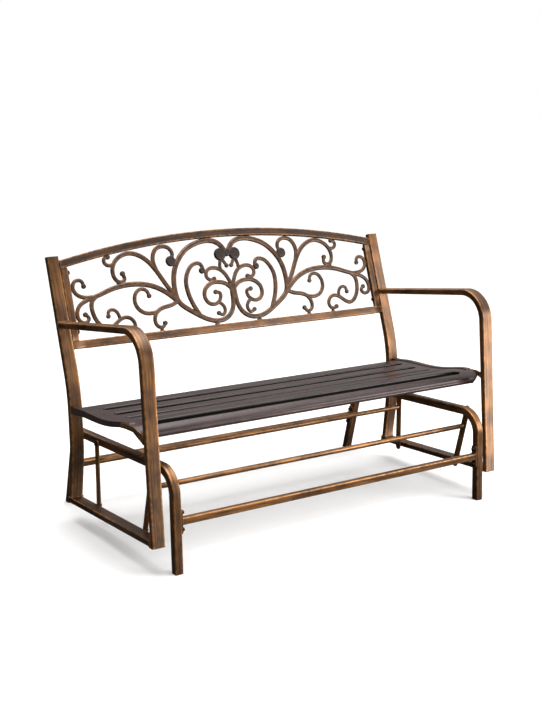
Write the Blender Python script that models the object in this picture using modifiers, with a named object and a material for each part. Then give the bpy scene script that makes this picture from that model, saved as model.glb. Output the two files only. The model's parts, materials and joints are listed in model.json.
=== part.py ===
"""Two-seat steel patio glider bench: a bent tube base, four swing links and a seat frame that glides on them.
Metres, +Z up, the front of the bench faces -Y. The side profiles are drawn in a level drawing frame (y to the
rear, z up) and the whole bench then leans back by LEAN, as the real one does on its shorter rear feet."""

import math

import bmesh
import bpy
import mathutils

# Driving dimensions
WIDTH = 1.270
SEAT_DEPTH = 0.497
BASE_DEPTH = 0.600
POST_HEIGHT = 0.828
ARM_HEIGHT = 0.640
SEAT_HEIGHT = 0.390
LEAN = math.radians(3.05)

# Stock sizes
FRAME_WIDE = 0.040
FRAME_DEEP = 0.020
BASE_TUBE = 0.025
BAR_TUBE = 0.0205
PLATE_WIDE = 0.0215
PANEL_TUBE = 0.0235
LINK_WIDE = 0.022
LINK_THICK = 0.005
ROD_RADIUS = 0.0078
ROD_STEP = 0.0028
SHEET = 0.002
PLATE = 0.004
PLATE_REACH = 0.010
PANEL_DEEP = 0.015
PANEL_RAIL = 0.025
SCROLL_DEEP = 0.010
SIDE_OUT = 0.003
SIDE_IN = 0.024
SLOT_WIDE = 0.020
SLOT_END = 0.040
LIP = 0.016
APRON = 0.124
BRACKET_DEEP = 0.018
BOLT_RADIUS = 0.004
HEAD_RADIUS = 0.007
HEAD_TALL = 0.007
SHANK = 0.018
PIVOT_SHANK = 0.026
PANEL_SHANK = 0.036
GAP = 0.0003
LINK_PLAY = 0.0018
TUBE_ROUND = 0.003
BAR_ROUND = 0.0025
LINK_ROUND = 0.0008

# Positions worked out from the driving dimensions
HALF = WIDTH / 2
INNER = HALF - FRAME_WIDE
BASE_INSET = 0.0628
BASE_HALF = HALF - BASE_INSET
BASE_TOP = 0.298
FRONT_BEND = 0.066
REAR_BEND = 0.045
RAIL_LOW = 0.0845
RAIL_TALL = 0.020
POST_SLOPE = 0.2907
POST_FLARE = 0.165
POST_BEND_RISE = 0.0426
POST_TOP_BEND = SEAT_HEIGHT + POST_BEND_RISE
POST_BEND = 0.45
POST_LOW_BEND = 0.2527
LEG_SLOPE = 0.049
LEG_FOOT = 0.0068
ARM_SLOPE = 0.078
ARM_BEND = 0.087
REAR_LEG_SLOPE = 0.297
BAR_Z = 0.1463
REAR_BAR_Z = 0.168
PIVOT_TOP_Z = 0.285
PIVOT_LOW_Z = RAIL_LOW + RAIL_TALL / 2
FRONT_TOP_Y = 0.088
FRONT_LOW_Y = 0.143
REAR_TOP_Y = 0.430
REAR_LOW_Y = 0.436
FRONT_ROD_DROP = 0.0625
REAR_ROD_DROP = 0.0535
LINK_TAIL = 0.006
LINK_SPACE = 0.0105
LINK_X = BASE_HALF + LINK_SPACE
BOLT_SPREAD = 0.0245
SCROLL_PLANE = 0.010
PANEL_HANG = 0.2735
PANEL_FOOT = POST_HEIGHT - PANEL_HANG
PANEL_CLEAR = INNER - GAP - PANEL_TUBE
SCROLL_BAR = 0.028 * PANEL_CLEAR
UPPER_BOLT_DROP = 0.049
LOWER_BOLT_DROP = 0.224
PANEL_BOLTS = (POST_HEIGHT - UPPER_BOLT_DROP, POST_HEIGHT - LOWER_BOLT_DROP)
ARCH_RISE = 0.3252
ARCH_SAG = 0.0659
ARCH_RADIUS = (INNER**2 + ARCH_SAG**2) / (2 * ARCH_SAG)
REAR_LEG_Y = BASE_DEPTH + BASE_TUBE * 1.1
REAR_FOOT_Y = REAR_LEG_Y + (BASE_TOP - BASE_TUBE / 2) * REAR_LEG_SLOPE
REAR_FOOT_Y += BASE_TUBE / 2 * math.hypot(1, REAR_LEG_SLOPE)
HALF_DEPTH = REAR_FOOT_Y / (1 + REAR_LEG_SLOPE * math.tan(LEAN)) / math.cos(LEAN) / 2

COLLECTION = "patio_glider_bench"
BRONZE = (0.115, 0.062, 0.036)
DARK = (0.045, 0.032, 0.028)
COPPER = (0.190, 0.098, 0.050)
BLACK = (0.020, 0.018, 0.017)


def start_scene():
    for obj in list(bpy.data.objects):
        bpy.data.objects.remove(obj, do_unlink=True)
    made = []
    for name in (COLLECTION, "cutters"):
        group = bpy.data.collections.new(name)
        bpy.context.scene.collection.children.link(group)
        made.append(group)
    made[1].hide_render = True
    return made


def material(name, colour, roughness, metallic):
    mat = bpy.data.materials.get(name)
    if mat is None:
        mat = bpy.data.materials.new(name)
        mat.use_nodes = True
        shader = mat.node_tree.nodes["Principled BSDF"]
        shader.inputs["Base Color"].default_value = (*colour, 1.0)
        shader.inputs["Roughness"].default_value = roughness
        shader.inputs["Metallic"].default_value = metallic
    return mat


def add_object(name, mesh, colour, roughness=0.42, metallic=0.85):
    obj = bpy.data.objects.new(name, mesh)
    bpy.data.collections[COLLECTION].objects.link(obj)
    obj.data.materials.append(material(name + "_paint", colour, roughness, metallic))
    return obj


def add_cutter(name, mesh):
    obj = bpy.data.objects.new(name, mesh)
    bpy.data.collections["cutters"].objects.link(obj)
    obj.hide_render = True
    obj.display_type = "WIRE"
    return obj


def lean(y, z):
    """A point of the level drawing frame, in the leaning bench, whose footprint is centred on the origin."""
    return (
        y * math.cos(LEAN) + z * math.sin(LEAN) - HALF_DEPTH,
        z * math.cos(LEAN) - y * math.sin(LEAN),
    )


def floor_z(y):
    return y * math.tan(LEAN)


def unit(a, b):
    length = math.hypot(b[0] - a[0], b[1] - a[1])
    return ((b[0] - a[0]) / length, (b[1] - a[1]) / length)


def bent_path(corners, radii, steps=6):
    """The centre line through these corners, each inner one rounded to its own bend radius."""
    path = [corners[0]]
    for k in range(1, len(corners) - 1):
        here = corners[k]
        before = unit(here, corners[k - 1])
        after = unit(here, corners[k + 1])
        opening = math.acos(before[0] * after[0] + before[1] * after[1])
        run = radii[k - 1] / math.tan(opening / 2)
        away = radii[k - 1] / math.sin(opening / 2)
        middle = unit((0, 0), (before[0] + after[0], before[1] + after[1]))
        centre = (here[0] + middle[0] * away, here[1] + middle[1] * away)
        first = (here[0] + before[0] * run, here[1] + before[1] * run)
        last = (here[0] + after[0] * run, here[1] + after[1] * run)
        a0 = math.atan2(first[1] - centre[1], first[0] - centre[0])
        a1 = math.atan2(last[1] - centre[1], last[0] - centre[0])
        turn = (a1 - a0 + math.pi) % math.tau - math.pi
        for i in range(steps + 1):
            a = a0 + turn * i / steps
            path.append(
                (centre[0] + radii[k - 1] * math.cos(a), centre[1] + radii[k - 1] * math.sin(a))
            )
    path.append(corners[-1])
    return path


def offset_line(path, distance):
    """The path moved sideways to its left by a distance, mitred at each point."""
    out = []
    for i, point in enumerate(path):
        back = unit(path[i - 1], point) if i else unit(point, path[1])
        ahead = unit(point, path[i + 1]) if i < len(path) - 1 else back
        normal = (-(back[1] + ahead[1]), back[0] + ahead[0])
        size = normal[0] ** 2 + normal[1] ** 2
        scale = 2 * distance / size
        out.append((point[0] + normal[0] * scale, point[1] + normal[1] * scale))
    return out


def band(path, left, right):
    return offset_line(path, left) + offset_line(path, -right)[::-1]


def smooth_line(points, steps=4):
    """A Catmull-Rom line through the points."""
    ends = [
        tuple(2 * a - b for a, b in zip(points[0], points[1])),
        *points,
        tuple(2 * a - b for a, b in zip(points[-1], points[-2])),
    ]
    out = []
    for k in range(1, len(ends) - 2):
        p0, p1, p2, p3 = ends[k - 1 : k + 3]
        for i in range(steps):
            t = i / steps
            out.append(
                tuple(
                    0.5
                    * (
                        2 * b
                        + (c - a) * t
                        + (2 * a - 5 * b + 4 * c - d) * t * t
                        + (3 * b - a - 3 * c + d) * t**3
                    )
                    for a, b, c, d in zip(p0, p1, p2, p3)
                )
            )
    out.append(tuple(points[-1]))
    return out


def thinned(line, degrees=16):
    """The line without the points where it has hardly turned since the last one kept."""
    kept = [line[0]]
    heading = unit(line[0], line[1])
    for here, after in zip(line[1:], line[2:]):
        ahead = unit(here, after)
        if heading[0] * ahead[0] + heading[1] * ahead[1] < math.cos(math.radians(degrees)):
            kept.append(here)
            heading = ahead
    return kept + [line[-1]]


def side_mesh(outline, x0, x1):
    """A flat outline of the drawing frame, leaned back and extruded across the bench from x0 to x1."""
    bm = bmesh.new()
    low = min(x0, x1)
    verts = [bm.verts.new((low, *lean(y, z))) for y, z in outline]
    face = bm.faces.new(verts)
    made = bmesh.ops.extrude_face_region(bm, geom=[face])
    moved = [v for v in made["geom"] if isinstance(v, bmesh.types.BMVert)]
    bmesh.ops.translate(bm, verts=moved, vec=(abs(x1 - x0), 0, 0))
    bmesh.ops.recalc_face_normals(bm, faces=bm.faces)
    mesh = bpy.data.meshes.new("side")
    bm.to_mesh(mesh)
    bm.free()
    return mesh


def round_edges(obj, width, segments=2, degrees=35):
    mod = obj.modifiers.new("round", "BEVEL")
    mod.width = width
    mod.segments = segments
    mod.limit_method = "ANGLE"
    mod.angle_limit = math.radians(degrees)


def side_part(name, outline, x0, x1, colour, edge=TUBE_ROUND, segments=2):
    obj = add_object(name, side_mesh(outline, x0, x1), colour)
    if edge:
        round_edges(obj, edge, segments)
    return obj


def rod_mesh(radius, x0, x1, y, z, sides=10):
    """A round bar across the bench at one place of the drawing frame."""
    outline = [
        (y + radius * math.cos(math.tau * i / sides), z + radius * math.sin(math.tau * i / sides))
        for i in range(sides)
    ]
    return side_mesh(outline, x0, x1)


def join(obj, tool, operation):
    mod = obj.modifiers.new(operation.lower(), "BOOLEAN")
    mod.operation = operation
    mod.solver = "EXACT"
    mod.object = tool


def drill(obj, x0, x1, y, z, radius=BOLT_RADIUS + GAP):
    tool = add_cutter(f"drill_{obj.name}_{len(obj.modifiers)}", rod_mesh(radius, x0, x1, y, z))
    join(obj, tool, "DIFFERENCE")


def turn_bolt(name, shank, head, radius):
    """A bolt with a tall cap, turned about its own X axis: cap towards -X, shank towards +X."""
    profile = [
        (0.0, -HEAD_TALL),
        (head * 0.60, -0.88 * HEAD_TALL),
        (head * 0.95, -0.50 * HEAD_TALL),
        (head, 0.0),
        (radius, 0.0),
        (radius, shank),
        (0.0, shank),
    ]
    bm = bmesh.new()
    verts = [bm.verts.new((run, 0.0, out)) for out, run in profile]
    for a, b in zip(verts, verts[1:]):
        bm.edges.new((a, b))
    mesh = bpy.data.meshes.new(name)
    bm.to_mesh(mesh)
    bm.free()
    obj = add_object(name, mesh, BLACK, 0.35, 0.9)
    mod = obj.modifiers.new("turn", "SCREW")
    mod.axis = "X"
    mod.angle = math.tau
    mod.steps = 9
    mod.render_steps = 9
    mod.use_merge_vertices = True
    mod.merge_threshold = 0.00005
    mod.use_normal_calculate = True
    mod.use_normal_flip = True
    return obj


def bolt(name, x_face, towards, y, z, shank):
    """A bolt across the bench: its head sits on x_face and its shank runs the way towards points."""
    obj = turn_bolt(name, shank, HEAD_RADIUS, BOLT_RADIUS)
    obj.location = (x_face, *lean(y, z))
    if towards < 0:
        obj.rotation_euler = (0.0, 0.0, math.pi)
    return obj


def place_bolt(name, place, pitch, shank):
    """A bolt driven forwards, towards -Y, its axis pitched up from level by an angle."""
    obj = turn_bolt(name, shank, HEAD_RADIUS * 0.85, BOLT_RADIUS)
    obj.location = place
    obj.rotation_euler = (0.0, pitch, -math.pi / 2)
    return obj


def round_bar(radius, length, place, pitch):
    """A round bar centred on a place, along the same axis as place_bolt gives."""
    bm = bmesh.new()
    bmesh.ops.create_cone(bm, cap_ends=True, segments=12, radius1=radius, radius2=radius, depth=length)
    turn = mathutils.Euler((0.0, pitch, -math.pi / 2)).to_matrix().to_4x4()
    lay = mathutils.Matrix.Rotation(math.pi / 2, 4, "Y")
    bm.transform(mathutils.Matrix.Translation(place) @ turn @ lay)
    mesh = bpy.data.meshes.new("bar")
    bm.to_mesh(mesh)
    bm.free()
    return mesh


# Base

def base_side(name, sign):
    """One bent square tube: front leg, top rail and splayed rear leg, its feet cut flat to the floor."""
    half = BASE_TUBE / 2
    top = BASE_TOP - half
    corners = [(half, -0.02), (half, top), (REAR_LEG_Y, top), (rear_leg_centre(0.017), 0.017)]
    path = bent_path(corners, [FRONT_BEND, REAR_BEND])
    outline = band(path, half, half)
    n = len(path)
    for near, far in ((0, 1), (2 * n - 1, 2 * n - 2), (n - 1, n - 2), (n, n + 1)):
        (y0, z0), (y1, z1) = outline[near], outline[far]
        rise = (z1 - z0) - (y1 - y0) * math.tan(LEAN)
        t = (floor_z(y0) - z0) / rise
        outline[near] = (y0 + (y1 - y0) * t, z0 + (z1 - z0) * t)
    outer = sign * BASE_HALF
    obj = side_part(name, outline, outer, outer - sign * BASE_TUBE, BRONZE)
    inner = outer - sign * BASE_TUBE
    for y, z in bar_bolt_places():
        drill(obj, inner - sign * 0.002, inner + sign * 0.018, y, z)
    for y in (FRONT_TOP_Y, REAR_TOP_Y):
        drill(obj, outer + sign * 0.002, outer - sign * 0.018, y, PIVOT_TOP_Z)
    return obj


def rear_leg_centre(z):
    return REAR_LEG_Y + (BASE_TOP - BASE_TUBE / 2 - z) * REAR_LEG_SLOPE


def bar_bolt_places():
    """Above and below the front bar and the rear bar, on the middle of the leg each is bolted to."""
    slant = math.atan(REAR_LEG_SLOPE)
    places = [(BASE_TUBE / 2, BAR_Z + s * BOLT_SPREAD) for s in (1, -1)]
    for s in (1, -1):
        z = REAR_BAR_Z + s * BOLT_SPREAD * math.cos(slant)
        places.append((rear_leg_centre(z), z))
    return places


def tilted_box(y, z, deep, tall, slant):
    out = []
    for a, b in ((-1, -1), (1, -1), (1, 1), (-1, 1)):
        dy = a * deep / 2
        dz = b * tall / 2
        out.append(
            (
                y + dy * math.cos(slant) - dz * math.sin(slant),
                z + dy * math.sin(slant) + dz * math.cos(slant),
            )
        )
    return out


def cross_bar(name, y, z, slant, places):
    """A square tube between the side frames with a bolting plate welded across each end."""
    reach = BASE_HALF - BASE_TUBE - GAP
    obj = side_part(name, tilted_box(y, z, BAR_TUBE, BAR_TUBE, slant), -reach, reach, BRONZE, BAR_ROUND)
    for sign in (-1, 1):
        plate = add_cutter(
            f"{name}_plate_{sign}",
            side_mesh(
                tilted_box(y, z, PLATE_WIDE, 2 * (BOLT_SPREAD + PLATE_REACH), slant),
                sign * reach,
                sign * (reach - PLATE),
            ),
        )
        join(obj, plate, "UNION")
        for hole_y, hole_z in places:
            drill(obj, sign * (reach + 0.001), sign * (reach - PLATE - 0.001), hole_y, hole_z)
    return obj


def bar_bolts():
    spots = bar_bolt_places()
    face = BASE_HALF - BASE_TUBE - GAP - PLATE - GAP
    for side, sign in (("l", -1), ("r", 1)):
        for label, (y, z) in zip(("front_up", "front_low", "rear_up", "rear_low"), spots):
            bolt(f"bolt_{label}_{side}", sign * face, sign, y, z, SHANK)


# Swing links

def link_bar(name, sign, top, low, rod_point, play):
    """A flat bar with round ends, bored for its two pivot bolts, the lower one with play, and for the rod."""
    half = LINK_WIDE / 2
    steps = 6
    along = unit(low, top)
    across = math.atan2(along[1], along[0])
    tail = along_link(top, low, math.dist(top, low) + LINK_TAIL)
    outline = []
    for centre, begin in ((top, across - math.pi / 2), (tail, across + math.pi / 2)):
        for i in range(steps + 1):
            a = begin + math.pi * i / steps
            outline.append((centre[0] + half * math.cos(a), centre[1] + half * math.sin(a)))
    x = sign * LINK_X
    obj = side_part(name, outline, x, x + sign * LINK_THICK, COPPER, LINK_ROUND, 1)
    for (y, z), radius in (
        (top, BOLT_RADIUS + GAP),
        (low, BOLT_RADIUS + play),
        (rod_point, ROD_RADIUS - ROD_STEP + GAP),
    ):
        drill(obj, x - sign * 0.002, x + sign * (LINK_THICK + 0.002), y, z, radius)
    return obj


def cross_rod(name, point):
    """A round rod whose turned-down ends are riveted in the two links."""
    reach = LINK_X - GAP
    obj = add_object(name, rod_mesh(ROD_RADIUS, -reach, reach, *point, sides=12), COPPER)
    for sign in (-1, 1):
        spigot = add_cutter(
            f"{name}_spigot_{sign}",
            rod_mesh(
                ROD_RADIUS - ROD_STEP,
                sign * (reach - LINK_THICK),
                sign * (LINK_X + LINK_THICK + ROD_STEP),
                *point,
                sides=12,
            ),
        )
        join(obj, spigot, "UNION")
    return obj


def along_link(top, low, distance):
    """The point of a link's middle line at a distance below its top pivot."""
    down = unit(top, low)
    return (top[0] + down[0] * distance, top[1] + down[1] * distance)


def links():
    for label, top_y, low_y, rod_drop, play in (
        ("front", FRONT_TOP_Y, FRONT_LOW_Y, FRONT_ROD_DROP, LINK_PLAY),
        ("rear", REAR_TOP_Y, REAR_LOW_Y, REAR_ROD_DROP, GAP),
    ):
        top = (top_y, PIVOT_TOP_Z)
        low = (low_y, PIVOT_LOW_Z)
        spot = along_link(top, low, rod_drop)
        for side, sign in (("l", -1), ("r", 1)):
            link_bar(f"link_{label}_{side}", sign, top, low, spot, play)
            outer = LINK_X + LINK_THICK + GAP
            bolt(
                f"pivot_{label}_top_{side}",
                sign * outer,
                -sign,
                *top,
                shank=PIVOT_SHANK,
            )
            bolt(
                f"pivot_{label}_low_{side}",
                sign * (LINK_X - GAP),
                sign,
                *low,
                shank=PIVOT_SHANK,
            )
        cross_rod(f"rod_{label}", spot)


# Seat frame

def post_face(z):
    """The y of the front face of the rear post at a height, before its bends are rounded."""
    if z > POST_TOP_BEND:
        return SEAT_DEPTH + (z - POST_TOP_BEND) * POST_SLOPE
    if z < POST_LOW_BEND:
        return SEAT_DEPTH + (POST_LOW_BEND - z) * POST_FLARE
    return SEAT_DEPTH


def post(name, sign):
    heights = (RAIL_LOW + RAIL_TALL + GAP, POST_LOW_BEND, POST_TOP_BEND, POST_HEIGHT)
    corners = [(post_face(z), z) for z in heights]
    path = bent_path(corners, [POST_BEND, POST_BEND], 4)
    outline = band(path, 0.0, FRAME_DEEP)
    outline[-1] = (outline[-1][0], outline[0][1])
    obj = side_part(name, outline, sign * HALF, sign * INNER, BRONZE)
    for z in PANEL_BOLTS:
        drill(obj, sign * (INNER - 0.002), sign * (INNER + 0.016), panel_y(z), z)
    return obj


def leg_face(z):
    return LEG_FOOT + (z - RAIL_LOW) * LEG_SLOPE


def leg_back(z):
    """The y of the rear face of the arm leg, with a gap for the part seated on it."""
    return leg_face(z) + FRAME_DEEP * math.hypot(1, LEG_SLOPE) + GAP


def arm_top(y):
    return ARM_HEIGHT + (post_face(ARM_HEIGHT) - y) * ARM_SLOPE


def arm(name, sign):
    """Front leg and arm rest in one bent tube, butted against the face of the post."""
    half = FRAME_DEEP / 2
    middle = half * math.hypot(1, LEG_SLOPE)
    foot = (leg_face(RAIL_LOW) + middle, RAIL_LOW)
    corner_z = arm_top(0.035) - half
    corner = (leg_face(corner_z) + middle, corner_z)
    end_y = post_face(ARM_HEIGHT) - GAP
    end = (end_y, arm_top(end_y) - half)
    outline = band(bent_path([foot, corner, end], [ARM_BEND], 8), half, half)
    n = len(outline) // 2
    for k in (n - 1, n):
        z = outline[k][1]
        outline[k] = (post_face(z) - GAP - 0.0004, z)
    obj = side_part(name, outline, sign * HALF, sign * INNER, BRONZE)
    return obj


def seat_rail(name, sign):
    """The flat rail along the bottom, under the post and butted against the front leg."""
    top = RAIL_LOW + RAIL_TALL
    front_low = leg_back(RAIL_LOW)
    front_top = leg_back(top)
    rear = post_face(top) + FRAME_DEEP
    outline = [(front_low, RAIL_LOW), (rear, RAIL_LOW), (rear, top), (front_top, top)]
    obj = side_part(name, outline, sign * HALF, sign * INNER, BRONZE)
    for y in (FRONT_LOW_Y, REAR_LOW_Y):
        drill(obj, sign * (INNER - 0.002), sign * (INNER + 0.024), y, PIVOT_LOW_Z)
    return obj


# The seat section as shares of the seat's depth: how far back, and how far above the seat height
PAN_SECTION = [
    (0.962, -0.001), (0.885, 0.005), (0.805, 0.005), (0.674, 0.001), (0.543, 0.003), (0.4125, 0.018),
    (0.312, 0.032), (0.2515, 0.033), (0.205, 0.022), (0.177, 0.001), (0.161, -0.028),
]


def pan_line():
    """The top face of the seat sheet from its rear edge to the lip of the front apron."""
    return smooth_line([(back * SEAT_DEPTH, SEAT_HEIGHT + up * SEAT_DEPTH) for back, up in PAN_SECTION], 3)


def pan_height(y):
    line = pan_line()
    for (y0, z0), (y1, z1) in zip(line, line[1:]):
        if y1 <= y <= y0:
            return z0 + (z1 - z0) * (y - y0) / (y1 - y0)
    return line[-1][1]


def slot_centres():
    return [(0.815 - 0.145 * k) * SEAT_DEPTH for k in range(5)]


def slot_cutter(name, y, wide, reach):
    """A round-ended slot across the seat, square to the sheet where it cuts."""
    near = 0.4 * wide
    slope = (pan_height(y + near) - pan_height(y - near)) / (2 * near)
    tilt = math.atan(slope)
    steps = 6
    bm = bmesh.new()
    ring = []
    for sign in (1, -1):
        for i in range(steps + 1):
            a = -math.pi / 2 + math.pi * i / steps
            ring.append((sign * (reach + wide / 2 * math.cos(a)), sign * wide / 2 * math.sin(a)))
    layers = []
    for height in (-0.6 * wide, 0.6 * wide):
        layer = []
        for x, across in ring:
            dy = across * math.cos(tilt) - height * math.sin(tilt)
            dz = across * math.sin(tilt) + height * math.cos(tilt)
            layer.append(bm.verts.new((x, *lean(y + dy, pan_height(y) + dz))))
        layers.append(layer)
    bm.faces.new(layers[0][::-1])
    bm.faces.new(layers[1])
    count = len(ring)
    for i in range(count):
        j = (i + 1) % count
        bm.faces.new((layers[0][i], layers[0][j], layers[1][j], layers[1][i]))
    bmesh.ops.recalc_face_normals(bm, faces=bm.faces)
    mesh = bpy.data.meshes.new(name)
    bm.to_mesh(mesh)
    bm.free()
    return add_cutter(name, mesh)


def seat_pan():
    """The pressed seat sheet: waterfall front, five long slots and turned-down rear and front lips."""
    line = pan_line()
    rear, low = line[0], line[-1]
    drop = [(rear[0] + 0.22 * LIP, rear[1] - share * LIP) for share in (1.0, 0.31)]
    tuck = [(low[0] + 0.19 * LIP, low[1] - 0.44 * LIP), (low[0] + 0.69 * LIP, low[1] - 0.56 * LIP)]
    path = drop + line + tuck
    reach = HALF - SIDE_IN - GAP
    wide = HALF - SIDE_OUT
    obj = side_part("seat_pan", band(path, 0.0, -SHEET), -wide, wide, DARK, 0)
    notch = [(APRON, SEAT_HEIGHT - LIP * 2), (SEAT_DEPTH, SEAT_HEIGHT - LIP * 2)]
    notch += [(y, z + LIP * 4) for y, z in notch[::-1]]
    for sign in (-1, 1):
        tool = add_cutter(f"notch_{sign}", side_mesh(notch, sign * reach, sign * (wide + LIP)))
        join(obj, tool, "DIFFERENCE")
    for k, y in enumerate(slot_centres()):
        join(obj, slot_cutter(f"slot_{k}", y, SLOT_WIDE, reach - SLOT_END), "DIFFERENCE")
    return obj


def seat_side_lines():
    """The upper and lower edges of a seat side, from the post to where it runs in under the apron."""
    clear = SHEET + 2 * GAP
    top = [(y, z + SIDE_OUT) for y, z in pan_line()[::2] if y > APRON + SIDE_OUT]
    top[0] = (SEAT_DEPTH - GAP, SEAT_HEIGHT + 0.008 * SEAT_DEPTH)
    low = []
    for y, z in top:
        low.append((y, z - SEAT_DEPTH * (0.028 + 0.020 * y / SEAT_DEPTH)))
    step = APRON + GAP
    top += [(step, pan_height(step) + SIDE_OUT), (step, pan_height(step) - clear)]
    nose = [y * SEAT_DEPTH for y in (0.225, 0.200)]
    top += [(y, pan_height(y + clear) - 1.6 * clear) for y in nose]
    low += [(y, pan_height(step) - 0.030 * SEAT_DEPTH) for y in (step, nose[-1])]
    return top, low


def seat_side(name, sign):
    """The curved rail along each side of the seat, deep at the post and tucked under the apron in front."""
    top, low = seat_side_lines()
    outer = sign * (HALF - SIDE_OUT)
    return side_part(name, top + low[::-1], outer, sign * (HALF - SIDE_IN), DARK, LINK_ROUND, 1)


def seat_bracket(name, sign):
    """The flat strap that carries the front of each seat side: welded to the side's outer face, dropping past
    the apron's end and turned in to a tab bolted to the arm leg."""
    rear = 0.34 * SEAT_DEPTH
    high = SEAT_HEIGHT + 0.009 * SEAT_DEPTH
    foot = high - BRACKET_DEEP
    bend = 0.8 * APRON
    upper = [(y, pan_height(y)) for y in (rear, APRON)] + [(bend, pan_height(APRON)), (leg_back(high), high)]
    lower = [(leg_back(foot), foot)]
    lower += [(y, pan_height(max(y, APRON)) - 0.030 * SEAT_DEPTH) for y in (bend, APRON, rear)]
    outer = sign * HALF
    obj = side_part(name, upper + lower, outer, sign * (HALF - SIDE_OUT + GAP), DARK, 0)
    tab = [(leg_back(z) + step, z) for z, step in ((high, 0), (high, PLATE), (foot, PLATE), (foot, 0))]
    join(obj, add_cutter(f"tab_{name}", side_mesh(tab, outer, sign * (HALF - SIDE_IN))), "UNION")
    z = (high + foot) / 2
    place = (sign * (HALF - (SIDE_IN + SIDE_OUT) / 2), *lean(leg_back(z) + PLATE + GAP, z))
    aim = -math.atan(LEG_SLOPE) - LEAN
    place_bolt(f"bolt_seat_{name[-1]}", place, aim, SHANK - GAP)
    hole = add_cutter(f"hole_{name}", round_bar(BOLT_RADIUS + GAP, 2 * SHANK, place, aim))
    join(obj, hole, "DIFFERENCE")
    join(bpy.data.objects[f"arm_{name[-1]}"], hole, "DIFFERENCE")
    return obj


# Back panel

def panel_y(z):
    return post_face(z) + SCROLL_PLANE


def back_point(x, up, forward=0.0):
    """A point of the back panel: across, up the panel from its bottom edge, and forward of its plane."""
    angle = math.atan(POST_SLOPE)
    y = panel_y(PANEL_FOOT) + up * math.sin(angle) - forward * math.cos(angle)
    z = PANEL_FOOT + up * math.cos(angle) + forward * math.sin(angle)
    return (x, *lean(y, z))


def flat_mesh(outline, deep, offset=0.0):
    """An outline (x, up) of the back panel, given its depth square to the panel."""
    bm = bmesh.new()
    layers = []
    for forward in (offset - deep / 2, offset + deep / 2):
        layers.append([bm.verts.new(back_point(x, up, forward)) for x, up in outline])
    bm.faces.new(layers[0])
    bm.faces.new(layers[1][::-1])
    count = len(outline)
    for i in range(count):
        j = (i + 1) % count
        bm.faces.new((layers[0][i], layers[0][j], layers[1][j], layers[1][i]))
    bmesh.ops.recalc_face_normals(bm, faces=bm.faces)
    mesh = bpy.data.meshes.new("flat")
    bm.to_mesh(mesh)
    bm.free()
    return mesh


def arch_up(x):
    return ARCH_RISE - (ARCH_RADIUS - math.sqrt(ARCH_RADIUS**2 - x * x))


def panel_arch():
    reach = INNER - GAP
    steps = 14
    line = [(-reach + 2 * reach * i / steps, 0.0) for i in range(steps + 1)]
    line = [(x, arch_up(x)) for x, _ in line]
    outline = band(line, PANEL_RAIL / 2, PANEL_RAIL / 2)
    n = len(line)
    for k in (0, 2 * n - 1):
        outline[k] = (-reach, outline[k][1])
    for k in (n - 1, n):
        outline[k] = (reach, outline[k][1])
    obj = add_object("back_arch", flat_mesh(outline, PANEL_DEEP), BRONZE)
    round_edges(obj, BAR_ROUND)
    return obj


def panel_bottom():
    reach = INNER - GAP
    outline = [(-reach, 0.0), (reach, 0.0), (reach, PANEL_RAIL), (-reach, PANEL_RAIL)]
    obj = add_object("back_bottom_rail", flat_mesh(outline, PANEL_DEEP), BRONZE)
    round_edges(obj, BAR_ROUND)
    return obj


def panel_side(name, sign):
    outer = sign * (INNER - GAP)
    inner = sign * (INNER - GAP - PANEL_TUBE)
    low = PANEL_RAIL + GAP
    outline = [
        (outer, low),
        (inner, low),
        (inner, arch_up(inner) - PANEL_RAIL / 2 - 2 * GAP),
        (outer, arch_up(outer) - PANEL_RAIL / 2 - 3 * GAP),
    ]
    if sign > 0:
        outline.reverse()
    obj = add_object(name, flat_mesh(outline, PANEL_DEEP), BRONZE)
    round_edges(obj, BAR_ROUND)
    for z in PANEL_BOLTS:
        drill(obj, outer + sign * 0.002, inner - sign * 0.002, panel_y(z), z)
    return obj


def panel_bolts():
    face = INNER - GAP - PANEL_TUBE - GAP
    for side, sign in (("l", -1), ("r", 1)):
        for label, z in zip(("up", "low"), PANEL_BOLTS):
            bolt(f"bolt_back_{label}_{side}", sign * face, sign, panel_y(z), z, PANEL_SHANK)


# Scrollwork

# The scrolls' section in shares of half the width and of the depth
SECTION = ((-1, -0.5), (1, -0.5), (1, 0.22), (0, 0.5), (-1, 0.22))


def scroll_mesh(points, wide, tip, deep):
    """One cast scroll: a bar along a smooth line, full width at its root and drawn down to its tip, with a
    low crowned section."""
    line = thinned(smooth_line(points, 4))
    count = len(line)
    bm = bmesh.new()
    rings = []
    for i, (x, up) in enumerate(line):
        back = unit(line[max(i - 1, 0)], line[min(i + 1, count - 1)])
        drawn = max(0.0, i / (count - 1) - 0.40) / 0.60
        half = 0.5 * (wide + (tip - wide) * drawn)
        nx, nu = -back[1], back[0]
        ring = []
        for side, forward in SECTION:
            ring.append(
                bm.verts.new(back_point(x + nx * half * side, up + nu * half * side, forward * deep))
            )
        rings.append(ring)
    for a, b in zip(rings, rings[1:]):
        for k in range(len(SECTION)):
            m = (k + 1) % len(SECTION)
            bm.faces.new((a[k], a[m], b[m], b[k]))
    bm.faces.new(rings[0][::-1])
    bm.faces.new(rings[-1])
    bmesh.ops.recalc_face_normals(bm, faces=bm.faces)
    mesh = bpy.data.meshes.new("scroll")
    bm.to_mesh(mesh)
    bm.free()
    return mesh


def disc_mesh(x, up, radius, deep, sides=12):
    outline = [
        (x + radius * math.cos(math.tau * i / sides), up + radius * math.sin(math.tau * i / sides))
        for i in range(sides)
    ]
    return flat_mesh(outline, deep)


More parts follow.
